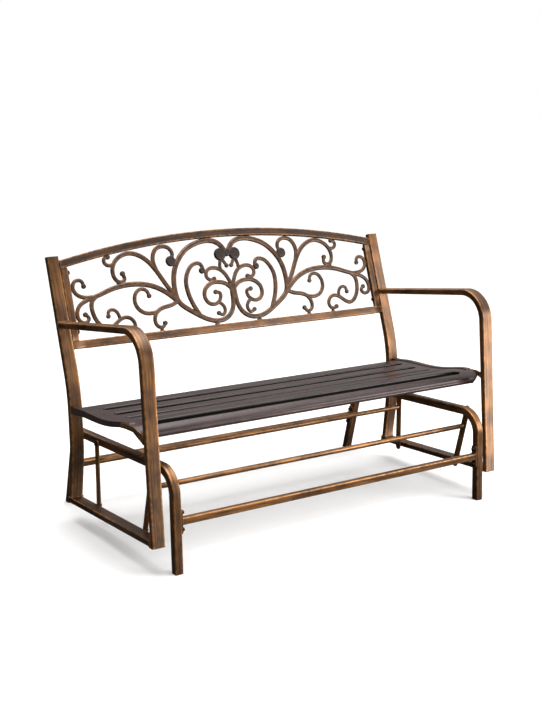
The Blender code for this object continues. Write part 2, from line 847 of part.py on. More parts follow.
# Each scroll is drawn by a few points, as shares of the panel's clear half width and of its height
HEART = [
    (0.014, 0.821), (0.0385, 0.881), (0.0805, 0.9231), (0.1436, 0.9311), (0.2101, 0.9041),
    (0.2661, 0.8579), (0.3151, 0.7811), (0.3536, 0.6827), (0.3746, 0.5658), (0.3782, 0.4551),
    (0.3641, 0.3413), (0.3221, 0.2706), (0.2626, 0.203), (0.1996, 0.143), (0.1401, 0.1169),
    (0.084, 0.1292), (0.0368, 0.1876), (0.014, 0.2768), (0.0096, 0.369), (0.0079, 0.4613),
]
EAR = [
    (0.2451, 0.1907), (0.2766, 0.3014), (0.2976, 0.4305), (0.2959, 0.5597), (0.2731, 0.6427),
    (0.2311, 0.7042), (0.1891, 0.6996), (0.1768, 0.655),
]
EYE = [
    (0.0123, 0.4367), (0.042, 0.4797), (0.0788, 0.5012), (0.119, 0.5043), (0.1593, 0.4797),
    (0.1891, 0.4244), (0.1926, 0.3506), (0.1681, 0.2952), (0.1296, 0.2875), (0.0963, 0.3321),
    (0.091, 0.3875), (0.119, 0.4059),
]
EYE_TAIL = [
    (0.105, 0.2983), (0.0823, 0.2583), (0.077, 0.2091), (0.0945, 0.1722), (0.1208, 0.1907),
]
CROWN = [
    (0.0053, 0.4674), (0.0245, 0.5443), (0.0525, 0.6119), (0.1015, 0.6504), (0.1471, 0.6335),
    (0.1628, 0.5812), (0.1453, 0.5351), (0.1138, 0.5381),
]
BUD = [
    (0.0613, 0.6242), (0.0595, 0.6827), (0.0473, 0.738),
]
HOOK = [
    (0.0438, 0.7442), (0.0254, 0.695), (0.0091, 0.6396),
]
UPPER = [
    (0.3834, 0.4059), (0.4272, 0.5228), (0.4727, 0.6642), (0.5287, 0.7872), (0.5847, 0.8456),
    (0.6268, 0.8595), (0.6758, 0.8395), (0.716, 0.7903), (0.7388, 0.7103), (0.7353, 0.6365),
    (0.7073, 0.5889), (0.6775, 0.6058), (0.6828, 0.6673),
]
UPPER_LEAF = [
    (0.7283, 0.7626), (0.7616, 0.758), (0.7808, 0.7903), (0.7756, 0.8272), (0.7546, 0.8379),
]
SHOOT = [
    (0.4692, 0.6581), (0.4832, 0.738), (0.4797, 0.818), (0.4517, 0.8856), (0.4132, 0.9041),
    (0.3729, 0.8795), (0.3571, 0.8241), (0.3694, 0.7688),
]
MIDDLE = [
    (0.3782, 0.3629), (0.4132, 0.4182), (0.4762, 0.4935), (0.5462, 0.5397), (0.6215, 0.5566),
    (0.7003, 0.5504), (0.7738, 0.5228), (0.8403, 0.4843), (0.9244, 0.4397), (0.9664, 0.3936),
    (0.9848, 0.326), (0.9751, 0.2552), (0.9436, 0.2368), (0.9226, 0.2706), (0.9401, 0.3106),
]
MIDDLE_LEAF = [
    (0.8578, 0.4736), (0.9244, 0.472), (0.9664, 0.5012), (0.9865, 0.5689), (0.9681, 0.6319),
    (0.9331, 0.6304), (0.9226, 0.5781),
]
HOOP = [
    (0.8578, 0.4736), (0.8894, 0.4244), (0.8964, 0.3444), (0.8859, 0.2645), (0.8596, 0.1937),
    (0.8193, 0.1568), (0.7773, 0.1876), (0.7423, 0.2306), (0.7003, 0.246), (0.6653, 0.206),
    (0.6618, 0.1384), (0.6863, 0.1107), (0.7108, 0.1261),
]
HOOP_LEAF = [
    (0.7423, 0.2337), (0.7511, 0.2952), (0.7721, 0.329), (0.8001, 0.3229), (0.8088, 0.2737),
]
LOWER = [
    (0.3746, 0.3506), (0.4167, 0.3198), (0.4692, 0.3029), (0.5147, 0.2614), (0.5322, 0.1999),
    (0.5235, 0.1322), (0.4937, 0.1138), (0.4744, 0.1507),
]
LOWER_LEAF = [
    (0.5077, 0.2706), (0.5567, 0.2598), (0.6022, 0.2829), (0.6338, 0.3536), (0.6338, 0.4305),
    (0.6127, 0.4859), (0.583, 0.5028), (0.555, 0.4797), (0.5445, 0.4305),
]


def casting(name, members, discs, feet, colour):
    """Joins cast scrolls into one piece: the first is the body, the others are merged into it."""
    pieces = [scroll_mesh(*m) for m in members] + [disc_mesh(*d) for d in discs]
    pieces += [flat_mesh(f, 0.75 * SCROLL_DEEP) for f in feet]
    obj = add_object(name, pieces[0], colour, 0.45, 0.8)
    for k, mesh in enumerate(pieces[1:]):
        join(obj, add_cutter(f"{name}_{k}", mesh), "UNION")
    return obj


def foot_outline(share, wide):
    """A weld foot between the bottom rail and a scroll, narrower at its top."""
    x = share * PANEL_CLEAR
    low = PANEL_RAIL + GAP
    top = low + SCROLL_BAR
    return [(x - wide / 2, low), (x + wide / 2, low), (x + wide / 4, top), (x - wide / 4, top)]


def placed(points, sign):
    return [(sign * x * PANEL_CLEAR, up * ARCH_RISE) for x, up in points]


# Line, width at the root and at the tip in shares of SCROLL_BAR, depth in shares of SCROLL_DEEP
CENTRE = [
    (HEART, 1.00, 0.88, 1.00), (EAR, 0.88, 0.63, 0.92), (EYE, 0.84, 0.56, 0.88), (EYE_TAIL, 0.69, 0.53, 0.84),
    (CROWN, 0.78, 0.56, 0.81), (BUD, 0.66, 0.64, 0.79), (HOOK, 0.66, 0.50, 0.77),
]
WING = [
    (MIDDLE, 0.97, 0.53, 1.00), (UPPER, 0.88, 0.59, 0.96), (UPPER_LEAF, 0.69, 0.53, 0.84),
    (SHOOT, 0.81, 0.59, 0.88), (MIDDLE_LEAF, 0.75, 0.53, 0.86), (HOOP, 0.81, 0.56, 0.90),
    (HOOP_LEAF, 0.66, 0.50, 0.80), (LOWER, 0.81, 0.56, 0.94), (LOWER_LEAF, 0.78, 0.53, 0.82),
]

# Bosses: place in shares of the panel, radius in shares of SCROLL_BAR, depth in shares of SCROLL_DEEP
CENTRE_BOSSES = [(0.0481, 0.7826, 1.25, 1.13), (0.1838, 0.6335, 0.62, 0.96)]
MIDDLE_BOSS = (0.0, 0.7949, 0.72, 1.08)
WING_BOSSES = [(0.3746, 0.7518, 0.97, 1.02), (0.7143, 0.5738, 0.42, 0.78)]


def members(table, sign, odd=0.0):
    """The scrolls of a table on one side; odd sets their depth apart from the other side's, so that no two
    faces lie in one plane where the castings are merged."""
    out = []
    for line, root, tip, deep in table:
        out.append(
            (placed(line, sign), root * SCROLL_BAR, tip * SCROLL_BAR, (deep + odd) * SCROLL_DEEP)
        )
    return out


def boss(entry, sign, odd=0.0):
    x, up, radius, deep = entry
    return (sign * x * PANEL_CLEAR, up * ARCH_RISE, radius * SCROLL_BAR, (deep + odd) * SCROLL_DEEP)


def scroll_centre():
    lines = []
    discs = [boss(MIDDLE_BOSS, 1)]
    for sign, odd in ((1, 0.0), (-1, 0.012)):
        lines += members(CENTRE, sign, odd)
        discs += [boss(entry, sign, odd) for entry in CENTRE_BOSSES]
    feet = [foot_outline(sign * 0.1436, SCROLL_BAR) for sign in (1, -1)]
    return casting("scroll_centre", lines, discs, feet, BRONZE)


def scroll_wing(name, sign):
    discs = [boss(entry, sign) for entry in WING_BOSSES]
    feet = [foot_outline(sign * 0.5007, 0.75 * SCROLL_BAR), foot_outline(sign * 0.6793, 0.62 * SCROLL_BAR)]
    obj = casting(name, members(WING, sign), discs, feet, BRONZE)
    trim = scroll_mesh(placed(HEART, sign), SCROLL_BAR + 2 * GAP, 0.88 * SCROLL_BAR + 2 * GAP, PANEL_DEEP)
    join(obj, add_cutter(f"{name}_trim", trim), "DIFFERENCE")
    return obj


def main():
    start_scene()
    for side, sign in (("l", -1), ("r", 1)):
        base_side(f"base_side_{side}", sign)
    places = bar_bolt_places()
    slant = math.atan(REAR_LEG_SLOPE)
    cross_bar("base_front_bar", BASE_TUBE / 2, BAR_Z, 0.0, places[:2])
    cross_bar("base_rear_bar", rear_leg_centre(REAR_BAR_Z), REAR_BAR_Z, slant, places[2:])
    bar_bolts()
    links()
    for side, sign in (("l", -1), ("r", 1)):
        post(f"post_{side}", sign)
        arm(f"arm_{side}", sign)
        seat_rail(f"seat_rail_{side}", sign)
        seat_side(f"seat_side_{side}", sign)
        seat_bracket(f"seat_bracket_{side}", sign)
        panel_side(f"back_side_{side}", sign)
        scroll_wing(f"scroll_wing_{side}", sign)
    seat_pan()
    panel_arch()
    panel_bottom()
    panel_bolts()
    scroll_centre()


main()
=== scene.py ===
"""Looks of a steel patio glider bench: antique bronze tubes, cast scrollwork and a pressed, slotted seat.

Side profiles are given in the level drawing frame of the bench (y to the rear, z up), which leans back by
LEAN. All sizes are in metres unless a name says otherwise."""

import json
import math

import bmesh
import bpy
import numpy as np
from bpy.props import FloatProperty, FloatVectorProperty, PointerProperty
from mathutils import Matrix, Vector

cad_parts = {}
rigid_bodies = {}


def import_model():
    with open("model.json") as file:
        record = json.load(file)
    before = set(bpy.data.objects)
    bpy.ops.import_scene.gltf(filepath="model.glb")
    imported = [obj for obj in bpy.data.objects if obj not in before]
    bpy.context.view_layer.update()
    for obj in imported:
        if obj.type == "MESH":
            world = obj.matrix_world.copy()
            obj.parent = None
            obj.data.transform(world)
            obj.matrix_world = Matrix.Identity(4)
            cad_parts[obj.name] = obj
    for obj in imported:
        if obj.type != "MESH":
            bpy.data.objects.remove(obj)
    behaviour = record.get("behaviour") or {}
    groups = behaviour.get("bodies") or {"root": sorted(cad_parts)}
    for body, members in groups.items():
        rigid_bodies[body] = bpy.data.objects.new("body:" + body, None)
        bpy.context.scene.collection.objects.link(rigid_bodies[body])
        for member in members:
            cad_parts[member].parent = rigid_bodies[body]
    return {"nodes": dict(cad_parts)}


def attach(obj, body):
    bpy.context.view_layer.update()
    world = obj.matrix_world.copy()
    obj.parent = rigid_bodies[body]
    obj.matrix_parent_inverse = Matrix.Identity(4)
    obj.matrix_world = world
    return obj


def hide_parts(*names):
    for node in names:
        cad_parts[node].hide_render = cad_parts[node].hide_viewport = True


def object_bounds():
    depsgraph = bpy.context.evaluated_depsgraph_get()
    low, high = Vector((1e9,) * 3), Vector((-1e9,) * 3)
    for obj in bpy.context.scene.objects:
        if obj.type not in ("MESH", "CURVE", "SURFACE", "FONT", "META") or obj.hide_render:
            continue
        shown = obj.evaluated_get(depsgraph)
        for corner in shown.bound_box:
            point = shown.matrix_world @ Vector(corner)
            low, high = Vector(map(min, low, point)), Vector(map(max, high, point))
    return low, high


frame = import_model()
CAD_BOX = [list(corner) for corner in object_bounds()]

bl_info = {
    "name": "Patio glider bench",
    "version": (1, 0, 0),
    "blender": (4, 5, 0),
    "location": "View3D > Sidebar > Bench",
    "description": "Dresses a glider bench with bronze tubes, cast scrollwork and a pressed seat",
    "category": "Object",
}

# The drawing frame and the sizes that the solids were made to
HALF = CAD_BOX[1][0]
HALF_DEPTH = 0.357523
LEAN = math.radians(3.05)
FRAME_WIDE = 0.040
FRAME_DEEP = 0.020
BASE_TUBE = 0.025
BAR_TUBE = 0.0205
PLATE = 0.004
PLATE_WIDE = 0.0215
PLATE_END = 0.010
PLATE_CORNER = 0.004
PANEL_TUBE = 0.0235
PANEL_RAIL = 0.025
PANEL_DEEP = 0.015
PANEL_CORNER = 0.003
GAP = 0.0003
INNER = HALF - FRAME_WIDE
BASE_HALF = HALF - 0.0628
BASE_TOP = 0.298
FRONT_BEND = 0.066
REAR_BEND = 0.045
SEAT_DEPTH = 0.497
SEAT_HEIGHT = 0.390
ARM_HEIGHT = 0.640
POST_HEIGHT = 0.828
POST_SLOPE = 0.2907
POST_FLARE = 0.165
POST_BEND = 0.45
POST_TOP_BEND = 0.4326
POST_LOW_BEND = 0.2527
LEG_SLOPE = 0.049
LEG_FOOT = 0.0068
ARM_SLOPE = 0.078
ARM_BEND = 0.087
RAIL_LOW = 0.0845
RAIL_TALL = 0.020
REAR_LEG_SLOPE = 0.297
REAR_LEG_Y = 0.6275
BAR_Z = 0.1463
REAR_BAR_Z = 0.168
BOLT_SPREAD = 0.0245
PIVOT_TOP_Z = 0.285
PIVOT_LOW_Z = RAIL_LOW + RAIL_TALL / 2
LINK_X = BASE_HALF + 0.0105
LINK_WIDE = 0.022
LINK_THICK = 0.005
LINK_TAIL = 0.006
ROD_RADIUS = 0.0078
ROD_STEP = 0.0028
LINKS = (
    ("front", (0.088, PIVOT_TOP_Z), (0.143, PIVOT_LOW_Z), 0.0625),
    ("rear", (0.430, PIVOT_TOP_Z), (0.436, PIVOT_LOW_Z), 0.0535),
)
SHEET = 0.002
SIDE_OUT = 0.003
SIDE_IN = 0.024
APRON = 0.124
BRACKET_DEEP = 0.018
STRAP_DROP = 0.0095  # deeper than in the solids
STRAP_TALL = 0.030 * SEAT_DEPTH
SLOT_END = 0.040
SLOT_FIRST = 0.815
SLOT_PITCH = 0.145
SLOT_HALF = 0.0125
SLOT_FLANGE = 0.0090
END_FLANGE = 0.007
NOSE_RUN = 0.0190
CORNER_CUT = 0.028
SHEET_WALL = 0.0014
PANEL_FOOT = 0.5545
PANEL_CLEAR = INNER - GAP - PANEL_TUBE
PANEL_ANGLE = math.atan(POST_SLOPE)
SCROLL_PLANE = 0.010
SCROLL_BAR = 0.0305 * PANEL_CLEAR  # a little wider than in the solids, whose bars are square-edged
SCROLL_DEEP = 0.010
KNOB = 0.66
TAPER_FROM = 0.40
FOOT_RISE = 0.017
ARCH_RISE = 0.3252
ARCH_SAG = 0.0659
ARCH_RADIUS = (INNER**2 + ARCH_SAG**2) / (2 * ARCH_SAG)
PANEL_BOLTS = (0.779, 0.604)
BEAD_STEP = 0.0012
ACROSS = np.array([1.0, 0.0, 0.0])

SIDES = (("l", -1), ("r", 1))


def srgb(code):
    """A hex colour as the linear values that Blender works in."""
    levels = [int(code[k : k + 2], 16) / 255 for k in (1, 3, 5)]
    return tuple(v / 12.92 if v <= 0.04045 else ((v + 0.055) / 1.055) ** 2.4 for v in levels)


# Sizes and colours a user would change


class BenchSizes(bpy.types.PropertyGroup):
    corner: FloatProperty(
        name="Tube corner", description="Outside corner radius of the square and flat tubes",
        default=0.0035, min=0.001, max=0.008, unit="LENGTH",
    )
    head: FloatProperty(
        name="Bolt head", description="Radius of the bolt heads and cap nuts",
        default=0.0070, min=0.004, max=0.012, unit="LENGTH",
    )
    rim: FloatProperty(
        name="Slot rim", description="Bend radius of the pressed edge round each seat slot",
        default=0.0042, min=0.001, max=0.008, unit="LENGTH",
    )
    bead: FloatProperty(
        name="Weld bead", description="Radius of the weld beads where the tubes meet",
        default=0.0016, min=0.0005, max=0.004, unit="LENGTH",
    )


class BenchColours(bpy.types.PropertyGroup):
    brown: FloatVectorProperty(
        name="Bronze brown", description="Ground colour of the antique bronze coat",
        subtype="COLOR", size=3, default=srgb("#301c13"),
    )
    shade: FloatVectorProperty(
        name="Deep brown", description="Darkest colour of the antique bronze coat",
        subtype="COLOR", size=3, default=srgb("#140d0c"),
    )
    gold: FloatVectorProperty(
        name="Rubbed gold", description="Colour of the brushed highlights",
        subtype="COLOR", size=3, default=srgb("#a8733f"),
    )
    seat: FloatVectorProperty(
        name="Seat brown", description="Ground colour of the seat sheet's coat",
        subtype="COLOR", size=3, default=srgb("#45332f"),
    )


# Numpy geometry


def lean(yz):
    """Points (y, z) of the drawing frame turned back by LEAN, y cos + z sin and z cos - y sin, with y then
    counted from the middle of the footprint."""
    yz = np.asarray(yz, float)
    y, z = yz[..., 0], yz[..., 1]
    turned_y = y * math.cos(LEAN) + z * math.sin(LEAN) - HALF_DEPTH
    return np.stack([turned_y, z * math.cos(LEAN) - y * math.sin(LEAN)], -1)


def lean_way(y, z):
    """A direction (y, z) of the drawing frame as a direction of the bench, turned back by LEAN."""
    cos, sin = math.cos(LEAN), math.sin(LEAN)
    return 0.0, y * cos + z * sin, z * cos - y * sin


def spread(x, yz):
    """Joins x values and drawing points into points of the bench, (..., 3)."""
    yz = lean(yz)
    x = np.broadcast_to(x, yz.shape[:-1])
    return np.concatenate([x[..., None], yz], -1)


def unit(v):
    """Vectors divided by their lengths."""
    return v / np.linalg.norm(v, axis=-1, keepdims=True)


def tangents(path):
    """Direction along a path at each point: the mean of its two neighbours' unit steps."""
    steps = unit(np.diff(path, axis=0))
    return unit(np.vstack([steps, steps[-1:]]) + np.vstack([steps[:1], steps]))


def lengths(path):
    """Distance along a path at each of its points, the running sum of its steps."""
    return np.concatenate([[0], np.cumsum(np.linalg.norm(np.diff(path, axis=0), axis=1))])


def edge_arc(radius, steps):
    """Depths radius * (1 - sin a) and insets radius * (1 - cos a) of an edge, a from 90 to 0 degrees."""
    a = np.linspace(math.pi / 2, 0, steps + 1)
    return radius * (1 - np.sin(a)), radius * (1 - np.cos(a))


def arc_corner(before, here, after, radius, steps):
    """The arc that rounds one corner: centre + radius * (cos a, sin a) over its turn."""
    before, here, after = (np.asarray(p, float) for p in (before, here, after))
    back, ahead = unit(before - here), unit(after - here)
    opening = math.acos(float(back @ ahead))
    run = radius / math.tan(opening / 2)
    centre = here + unit(back + ahead) * radius / math.sin(opening / 2)
    first, last = here + back * run - centre, here + ahead * run - centre
    begin = math.atan2(first[1], first[0])
    turn = (math.atan2(last[1], last[0]) - begin + math.pi) % math.tau - math.pi
    a = begin + turn * np.linspace(0, 1, steps + 1)
    return centre + radius * np.stack([np.cos(a), np.sin(a)], -1)


def bent(corners, radii, steps=28):
    """A centre line of straight runs and arcs through the corners."""
    parts = [np.array([corners[0]], float)]
    for k, radius in enumerate(radii, 1):
        parts.append(arc_corner(corners[k - 1], corners[k], corners[k + 1], radius, steps))
    parts.append(np.array([corners[-1]], float))
    return np.vstack(parts)


def spline(points, per_step):
    """The natural cubic through the points, by chord length: in each span the sum of the two end values and
    two cubics weighted by the end curvatures, which make one tridiagonal system."""
    p = np.asarray(points, float)
    t = lengths(p)
    h = np.diff(t)
    n = len(p)
    system = np.eye(n)
    right = np.zeros_like(p)
    rows = np.arange(1, n - 1)
    system[rows, rows - 1] = h[:-1]
    system[rows, rows] = 2 * (h[:-1] + h[1:])
    system[rows, rows + 1] = h[1:]
    slopes = np.diff(p, axis=0) / h[:, None]
    right[1:-1] = 6 * np.diff(slopes, axis=0)
    bend = np.linalg.solve(system, right)
    s = np.linspace(0, t[-1], (n - 1) * per_step + 1)
    k = np.clip(np.searchsorted(t, s, side="right") - 1, 0, n - 2)
    a, b = (t[k + 1] - s)[:, None], (s - t[k])[:, None]
    w = h[k][:, None]
    near = p[k] * a / w + p[k + 1] * b / w
    return near + bend[k] * (a**3 / w - a * w) / 6 + bend[k + 1] * (b**3 / w - b * w) / 6


def round_rectangle(wide, deep, corner, steps=5, support=0.0035):
    """A rounded rectangle counter-clockwise, (m, 2), and its wear (m,): each corner is an arc, with one more
    point on the flats beside it so that the flats stay flat in the shading. Wear is 1 on the arcs."""
    support = min(support, (min(wide, deep) / 2 - corner) * 0.6)
    a = np.linspace(0, math.pi / 2, steps + 1)
    quarter = corner * np.stack([np.cos(a), np.sin(a)], -1)
    quarter = np.vstack([quarter[0] - (0, support), quarter, quarter[-1] - (support, 0)])
    worn = np.concatenate([[0.0], 0.55 + 0.45 * np.sin(2 * a), [0.0]])
    centres = np.array([(1, 1), (-1, 1), (-1, -1), (1, -1)]) * (wide / 2 - corner, deep / 2 - corner)
    turns = np.arange(4) * math.pi / 2
    cos, sin = np.cos(turns), np.sin(turns)
    spin = np.array([[cos, -sin], [sin, cos]]).transpose(2, 0, 1)
    ring = np.einsum("kij,qj->kqi", spin, quarter) + centres[:, None]
    return ring.reshape(-1, 2), np.tile(worn, 4)


def circle(radius, sides=24):
    """Points radius * (cos a, sin a) round a circle, and their wear."""
    a = np.linspace(0, math.tau, sides, endpoint=False)
    return radius * np.stack([np.cos(a), np.sin(a)], -1), np.full(sides, 0.35)


def quads(rows, columns, closed, looped=False):
    """Corner numbers of the faces of a grid, (faces, 4): the last column is joined to the first if closed,
    and the last row to the first if looped."""
    i = np.arange(rows if looped else rows - 1)[:, None]
    j = np.arange(columns if closed else columns - 1)[None, :]
    k = (j + 1) % columns
    n = (i + 1) % rows
    return np.stack([i * columns + j, i * columns + k, n * columns + k, n * columns + j], -1).reshape(-1, 4)


class Shape:
    """Surfaces gathered for one piece: points, faces, UV in metres by face corner, and wear by point."""

    def __init__(self):
        self.points, self.faces, self.uvs, self.worn, self.flat = [], [], [], [], []
        self.count = 0


def grid_uv(along, around):
    """UV of each face corner of a grid, (faces, 4, 2), from the row lengths and column lengths."""
    uv = np.stack(np.meshgrid(along, around, indexing="ij"), -1)
    return np.stack([uv[:-1, :-1], uv[:-1, 1:], uv[1:, 1:], uv[1:, :-1]], 2).reshape(-1, 4, 2)


def surface(rings, closed=True, worn=0.0, shape=None, looped=False):
    """A surface through rings (n, m, 3): a grid of faces, joined round if closed and end to end if looped,
    and otherwise with flat end caps. Its UV is the length along the rings' middles and round them."""
    shape = shape or Shape()
    n, m = rings.shape[:2]
    rows = np.concatenate([rings, rings[:1]]) if looped else rings
    along = lengths(rows.mean(1))
    loop = np.concatenate([rings, rings[:, :1]], 1) if closed else rings
    around = lengths(loop[n // 2])
    wear = np.broadcast_to(worn, (n, m)).reshape(-1)
    faces = quads(n, m, closed, looped)
    points = rings.reshape(-1, 3)
    uv = grid_uv(along, around)
    way = 1
    if closed:
        a, b, c = (points[faces[:, k]] for k in (0, 1, 2))
        middle = rings.mean(1)[np.arange(len(faces)) // m]
        if np.sum(np.cross(b - a, c - a) * (a - middle)) < 0:
            faces, uv, way = faces[:, ::-1], uv[:, ::-1], -1
    start = shape.count
    shape.points.append(points)
    shape.worn.append(wear)
    shape.faces += (faces + start).tolist()
    shape.uvs.append(uv.reshape(-1, 2))
    shape.flat += [False] * len(faces)
    shape.count += n * m
    if closed and not looped:
        for row, turn in ((0, -way), (n - 1, way)):
            ring = np.arange(m)[::turn] + row * m + start
            shape.faces.append(ring.tolist())
            shape.uvs.append(np.stack([around[:-1], np.full(m, along[row])], -1)[::turn])
            shape.flat.append(True)
    return shape


def carried(path, side, up, profile, scale=None):
    """Profile points carried along a path: path + side * profile_x * scale_x + up * profile_y * scale_y."""
    n = len(path)
    side, up = np.broadcast_to(side, (n, 3)), np.broadcast_to(up, (n, 3))
    scale = np.ones((n, 2)) if scale is None else scale
    x = scale[:, :1] * profile[None, :, 0]
    y = scale[:, 1:] * profile[None, :, 1]
    return path[:, None] + side[:, None] * x[..., None] + up[:, None] * y[..., None]


def drawn_ends(path, wide, deep, radius, steps=4):
    """Adds points at the ends of a path, and gives the scale (n, 2) of each: the section is whole at the very
    end, and at a depth of radius * (1 - sin a) behind it smaller by that same length on each side."""
    depth, _ = edge_arc(radius, steps)
    shrink = 1 - 2 * depth[:, None] / np.array([wide, deep])
    first = path[0] + unit(path[1] - path[0]) * depth[:, None]
    last = path[-1] + unit(path[-2] - path[-1]) * depth[::-1, None]
    scale = np.vstack([shrink, np.ones((len(path) - 2, 2)), shrink[::-1]])
    return np.vstack([first, path[1:-1], last]), scale


def tube(path, side, up, section, edge=0.001):
    """A tube along a path, drawn in behind its ends: side and up are the section's axes, or None for the one
    square to the path and the other. The section is its width, depth and corner radius."""
    wide, deep, corner = section
    path, scale = drawn_ends(path, wide, deep, edge)
    way = tangents(path)
    side = unit(np.cross(way, up)) if side is None else side
    up = np.cross(way, side) if up is None else up
    profile, worn = round_rectangle(wide, deep, corner)
    return surface(carried(path, side, up, profile, scale), worn=worn)


def cross_tube(yz, reach, profile, turn=0.0, rows=12):
    """A tube straight across the bench at a place of the drawing frame, its section turned by an angle, with
    one more ring 1 mm from each end that keeps the shading of its sides straight."""
    x = np.concatenate([[-reach], np.linspace(0.001 - reach, reach - 0.001, rows), [reach]])
    path = spread(x, np.broadcast_to(yz, (rows + 2, 2)))
    tilt = turn - LEAN
    side = np.array([0.0, math.cos(tilt), math.sin(tilt)])
    up = np.array([0.0, -math.sin(tilt), math.cos(tilt)])
    points, worn = profile
    return surface(carried(path, side, up, points), worn=worn)


def slab(outline, x0, x1, edge, steps=4, shape=None):
    """A plate cut to an outline of the drawing frame, from x0 to x1, its edges rounded: the outline moves in
    along its own normal by edge_arc's insets while x moves in from the face by its depths."""
    outline = np.asarray(outline, float)
    ahead = np.roll(outline, -1, 0)
    step = unit(ahead - np.roll(outline, 1, 0))
    area = np.sum(outline[:, 0] * ahead[:, 1] - ahead[:, 0] * outline[:, 1])
    inward = np.stack([-step[:, 1], step[:, 0]], -1) * math.copysign(1, area)
    depth, inset = edge_arc(edge, steps)
    x = np.concatenate([min(x0, x1) + depth, max(x0, x1) - depth[::-1]])
    inset = np.concatenate([inset, inset[::-1]])
    rings = outline[None] + inward[None] * inset[:, None, None]
    worn = np.where(inset > 0, 0.8, 0.1)[:, None]
    return surface(spread(x[:, None], rings), worn=worn, shape=shape)


def bead(ring, way, radius, shape):
    """A weld bead round a joint: a small circle carried round a closed line (m, 3), its radius swelling and
    shrinking as radius * (1 + 0.16 cos) at each ripple of the weld."""
    ahead = np.roll(ring, -1, 0)
    out = unit(ring - ring.mean(0))
    run = np.cumsum(np.linalg.norm(ahead - ring, axis=1))
    ripples = max(4, round(run[-1] / (2.2 * radius)))
    swell = radius * (1 + 0.16 * np.cos(math.tau * ripples * run / run[-1]))
    a = np.linspace(0, math.tau, 8, endpoint=False)
    spokes = np.cos(a)[None, :, None] * out[:, None] + np.sin(a)[None, :, None] * np.asarray(way)[None, None]
    return surface(ring[:, None] + swell[:, None, None] * spokes, worn=0.7, shape=shape, looped=True)


def even(ring, spacing=BEAD_STEP):
    """A closed line laid out again in even steps of about the given spacing, by linear interpolation."""
    loop = np.vstack([ring, ring[:1]])
    run = lengths(loop)
    at = np.linspace(0, run[-1], max(12, round(run[-1] / spacing)), endpoint=False)
    return np.stack([np.interp(at, run, loop[:, k]) for k in range(loop.shape[1])], -1)


def turned(profile, centre, axis, sides=28, shape=None, worn=0.4):
    """A turned part: profile points (distance along the axis, radius), spun round the axis at a centre."""
    axis = unit(np.asarray(axis, float))
    helper = np.array([0.0, 0.0, 1.0]) if abs(axis[2]) < 0.9 else np.array([0.0, 1.0, 0.0])
    side = unit(np.cross(helper, axis))
    up = np.cross(axis, side)
    a = np.linspace(0, math.tau, sides, endpoint=False)
    ring = np.cos(a)[:, None] * side + np.sin(a)[:, None] * up
    profile = np.asarray(profile, float)
    rings = np.asarray(centre) + profile[:, :1, None] * axis + profile[:, 1:, None] * ring[None]
    return surface(rings, worn=worn, shape=shape)


def put(name, data):
    """Adds an object with the given data to the scene."""
    obj = bpy.data.objects.new(name, data)
    bpy.context.scene.collection.objects.link(obj)
    return obj


def piece(name, body, shape, finish, replaces, merge=False):
    """Puts a gathered shape into the scene as one piece that rides on a body. Its UV is shifted by the number
    of objects there are, so that no two pieces carry the same streaks, and merge joins its patches."""
    points = np.concatenate(shape.points)
    mesh = bpy.data.meshes.new(name)
    mesh.from_pydata(points, [], shape.faces)
    layer = mesh.uv_layers.new(name="surface")
    shift = len(bpy.data.objects) * np.array([0.731, 0.219])
    layer.data.foreach_set("uv", (np.concatenate(shape.uvs) + shift).astype(np.float32).ravel())
    wear = mesh.attributes.new("worn", "FLOAT", "POINT")
    wear.data.foreach_set("value", np.concatenate(shape.worn).astype(np.float32))
    mesh.polygons.foreach_set("use_smooth", ~np.array(shape.flat, bool))
    if merge:
        bm = bmesh.new()
        bm.from_mesh(mesh)
        bmesh.ops.remove_doubles(bm, verts=bm.verts, dist=0.00002)
        bmesh.ops.recalc_face_normals(bm, faces=bm.faces)
        bm.to_mesh(mesh)
        bm.free()
    mesh.update()
    obj = put(name, mesh)
    mesh.materials.append(finish)
    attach(obj, body)
    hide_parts(*replaces)
    return obj


# Drawing lines of the bench


def post_face(z):
    """Front face of a rear post at height z: upright, and sloped above and below its bends."""
    above, below = max(z - POST_TOP_BEND, 0), max(POST_LOW_BEND - z, 0)
    return SEAT_DEPTH + above * POST_SLOPE + below * POST_FLARE


def leg_face(z):
    return LEG_FOOT + (z - RAIL_LOW) * LEG_SLOPE


def leg_back(z):
    return leg_face(z) + FRAME_DEEP * math.hypot(1, LEG_SLOPE) + GAP


def arm_top(y):
    return ARM_HEIGHT + (post_face(ARM_HEIGHT) - y) * ARM_SLOPE


def rear_leg(z):
    return REAR_LEG_Y + (BASE_TOP - BASE_TUBE / 2 - z) * REAR_LEG_SLOPE


def base_line():
    """Centre line of a base side: up the front leg, along the rail and down the splayed rear leg."""
    half = BASE_TUBE / 2
    top = BASE_TOP - half
    foot = -0.004
    corners = [(half, foot), (half, top), (REAR_LEG_Y, top), (rear_leg(foot), foot)]
    return bent(corners, [FRONT_BEND, REAR_BEND])


def bar_bolts():
    """Places of the bolts of the cross bars: front upper and lower, rear upper and lower."""
    slant = math.atan(REAR_LEG_SLOPE)
    front = [(BASE_TUBE / 2, BAR_Z + s * BOLT_SPREAD) for s in (1, -1)]
    heights = [REAR_BAR_Z + s * BOLT_SPREAD * math.cos(slant) for s in (1, -1)]
    return front + [(rear_leg(z), z) for z in heights]


def panel_y(z):
    """Middle plane of the back panel at height z."""
    return post_face(z) + SCROLL_PLANE


PANEL_FRONT = np.array([0.0, -math.cos(PANEL_ANGLE + LEAN), math.sin(PANEL_ANGLE + LEAN)])
PANEL_UP = np.array([0.0, math.sin(PANEL_ANGLE + LEAN), math.cos(PANEL_ANGLE + LEAN)])


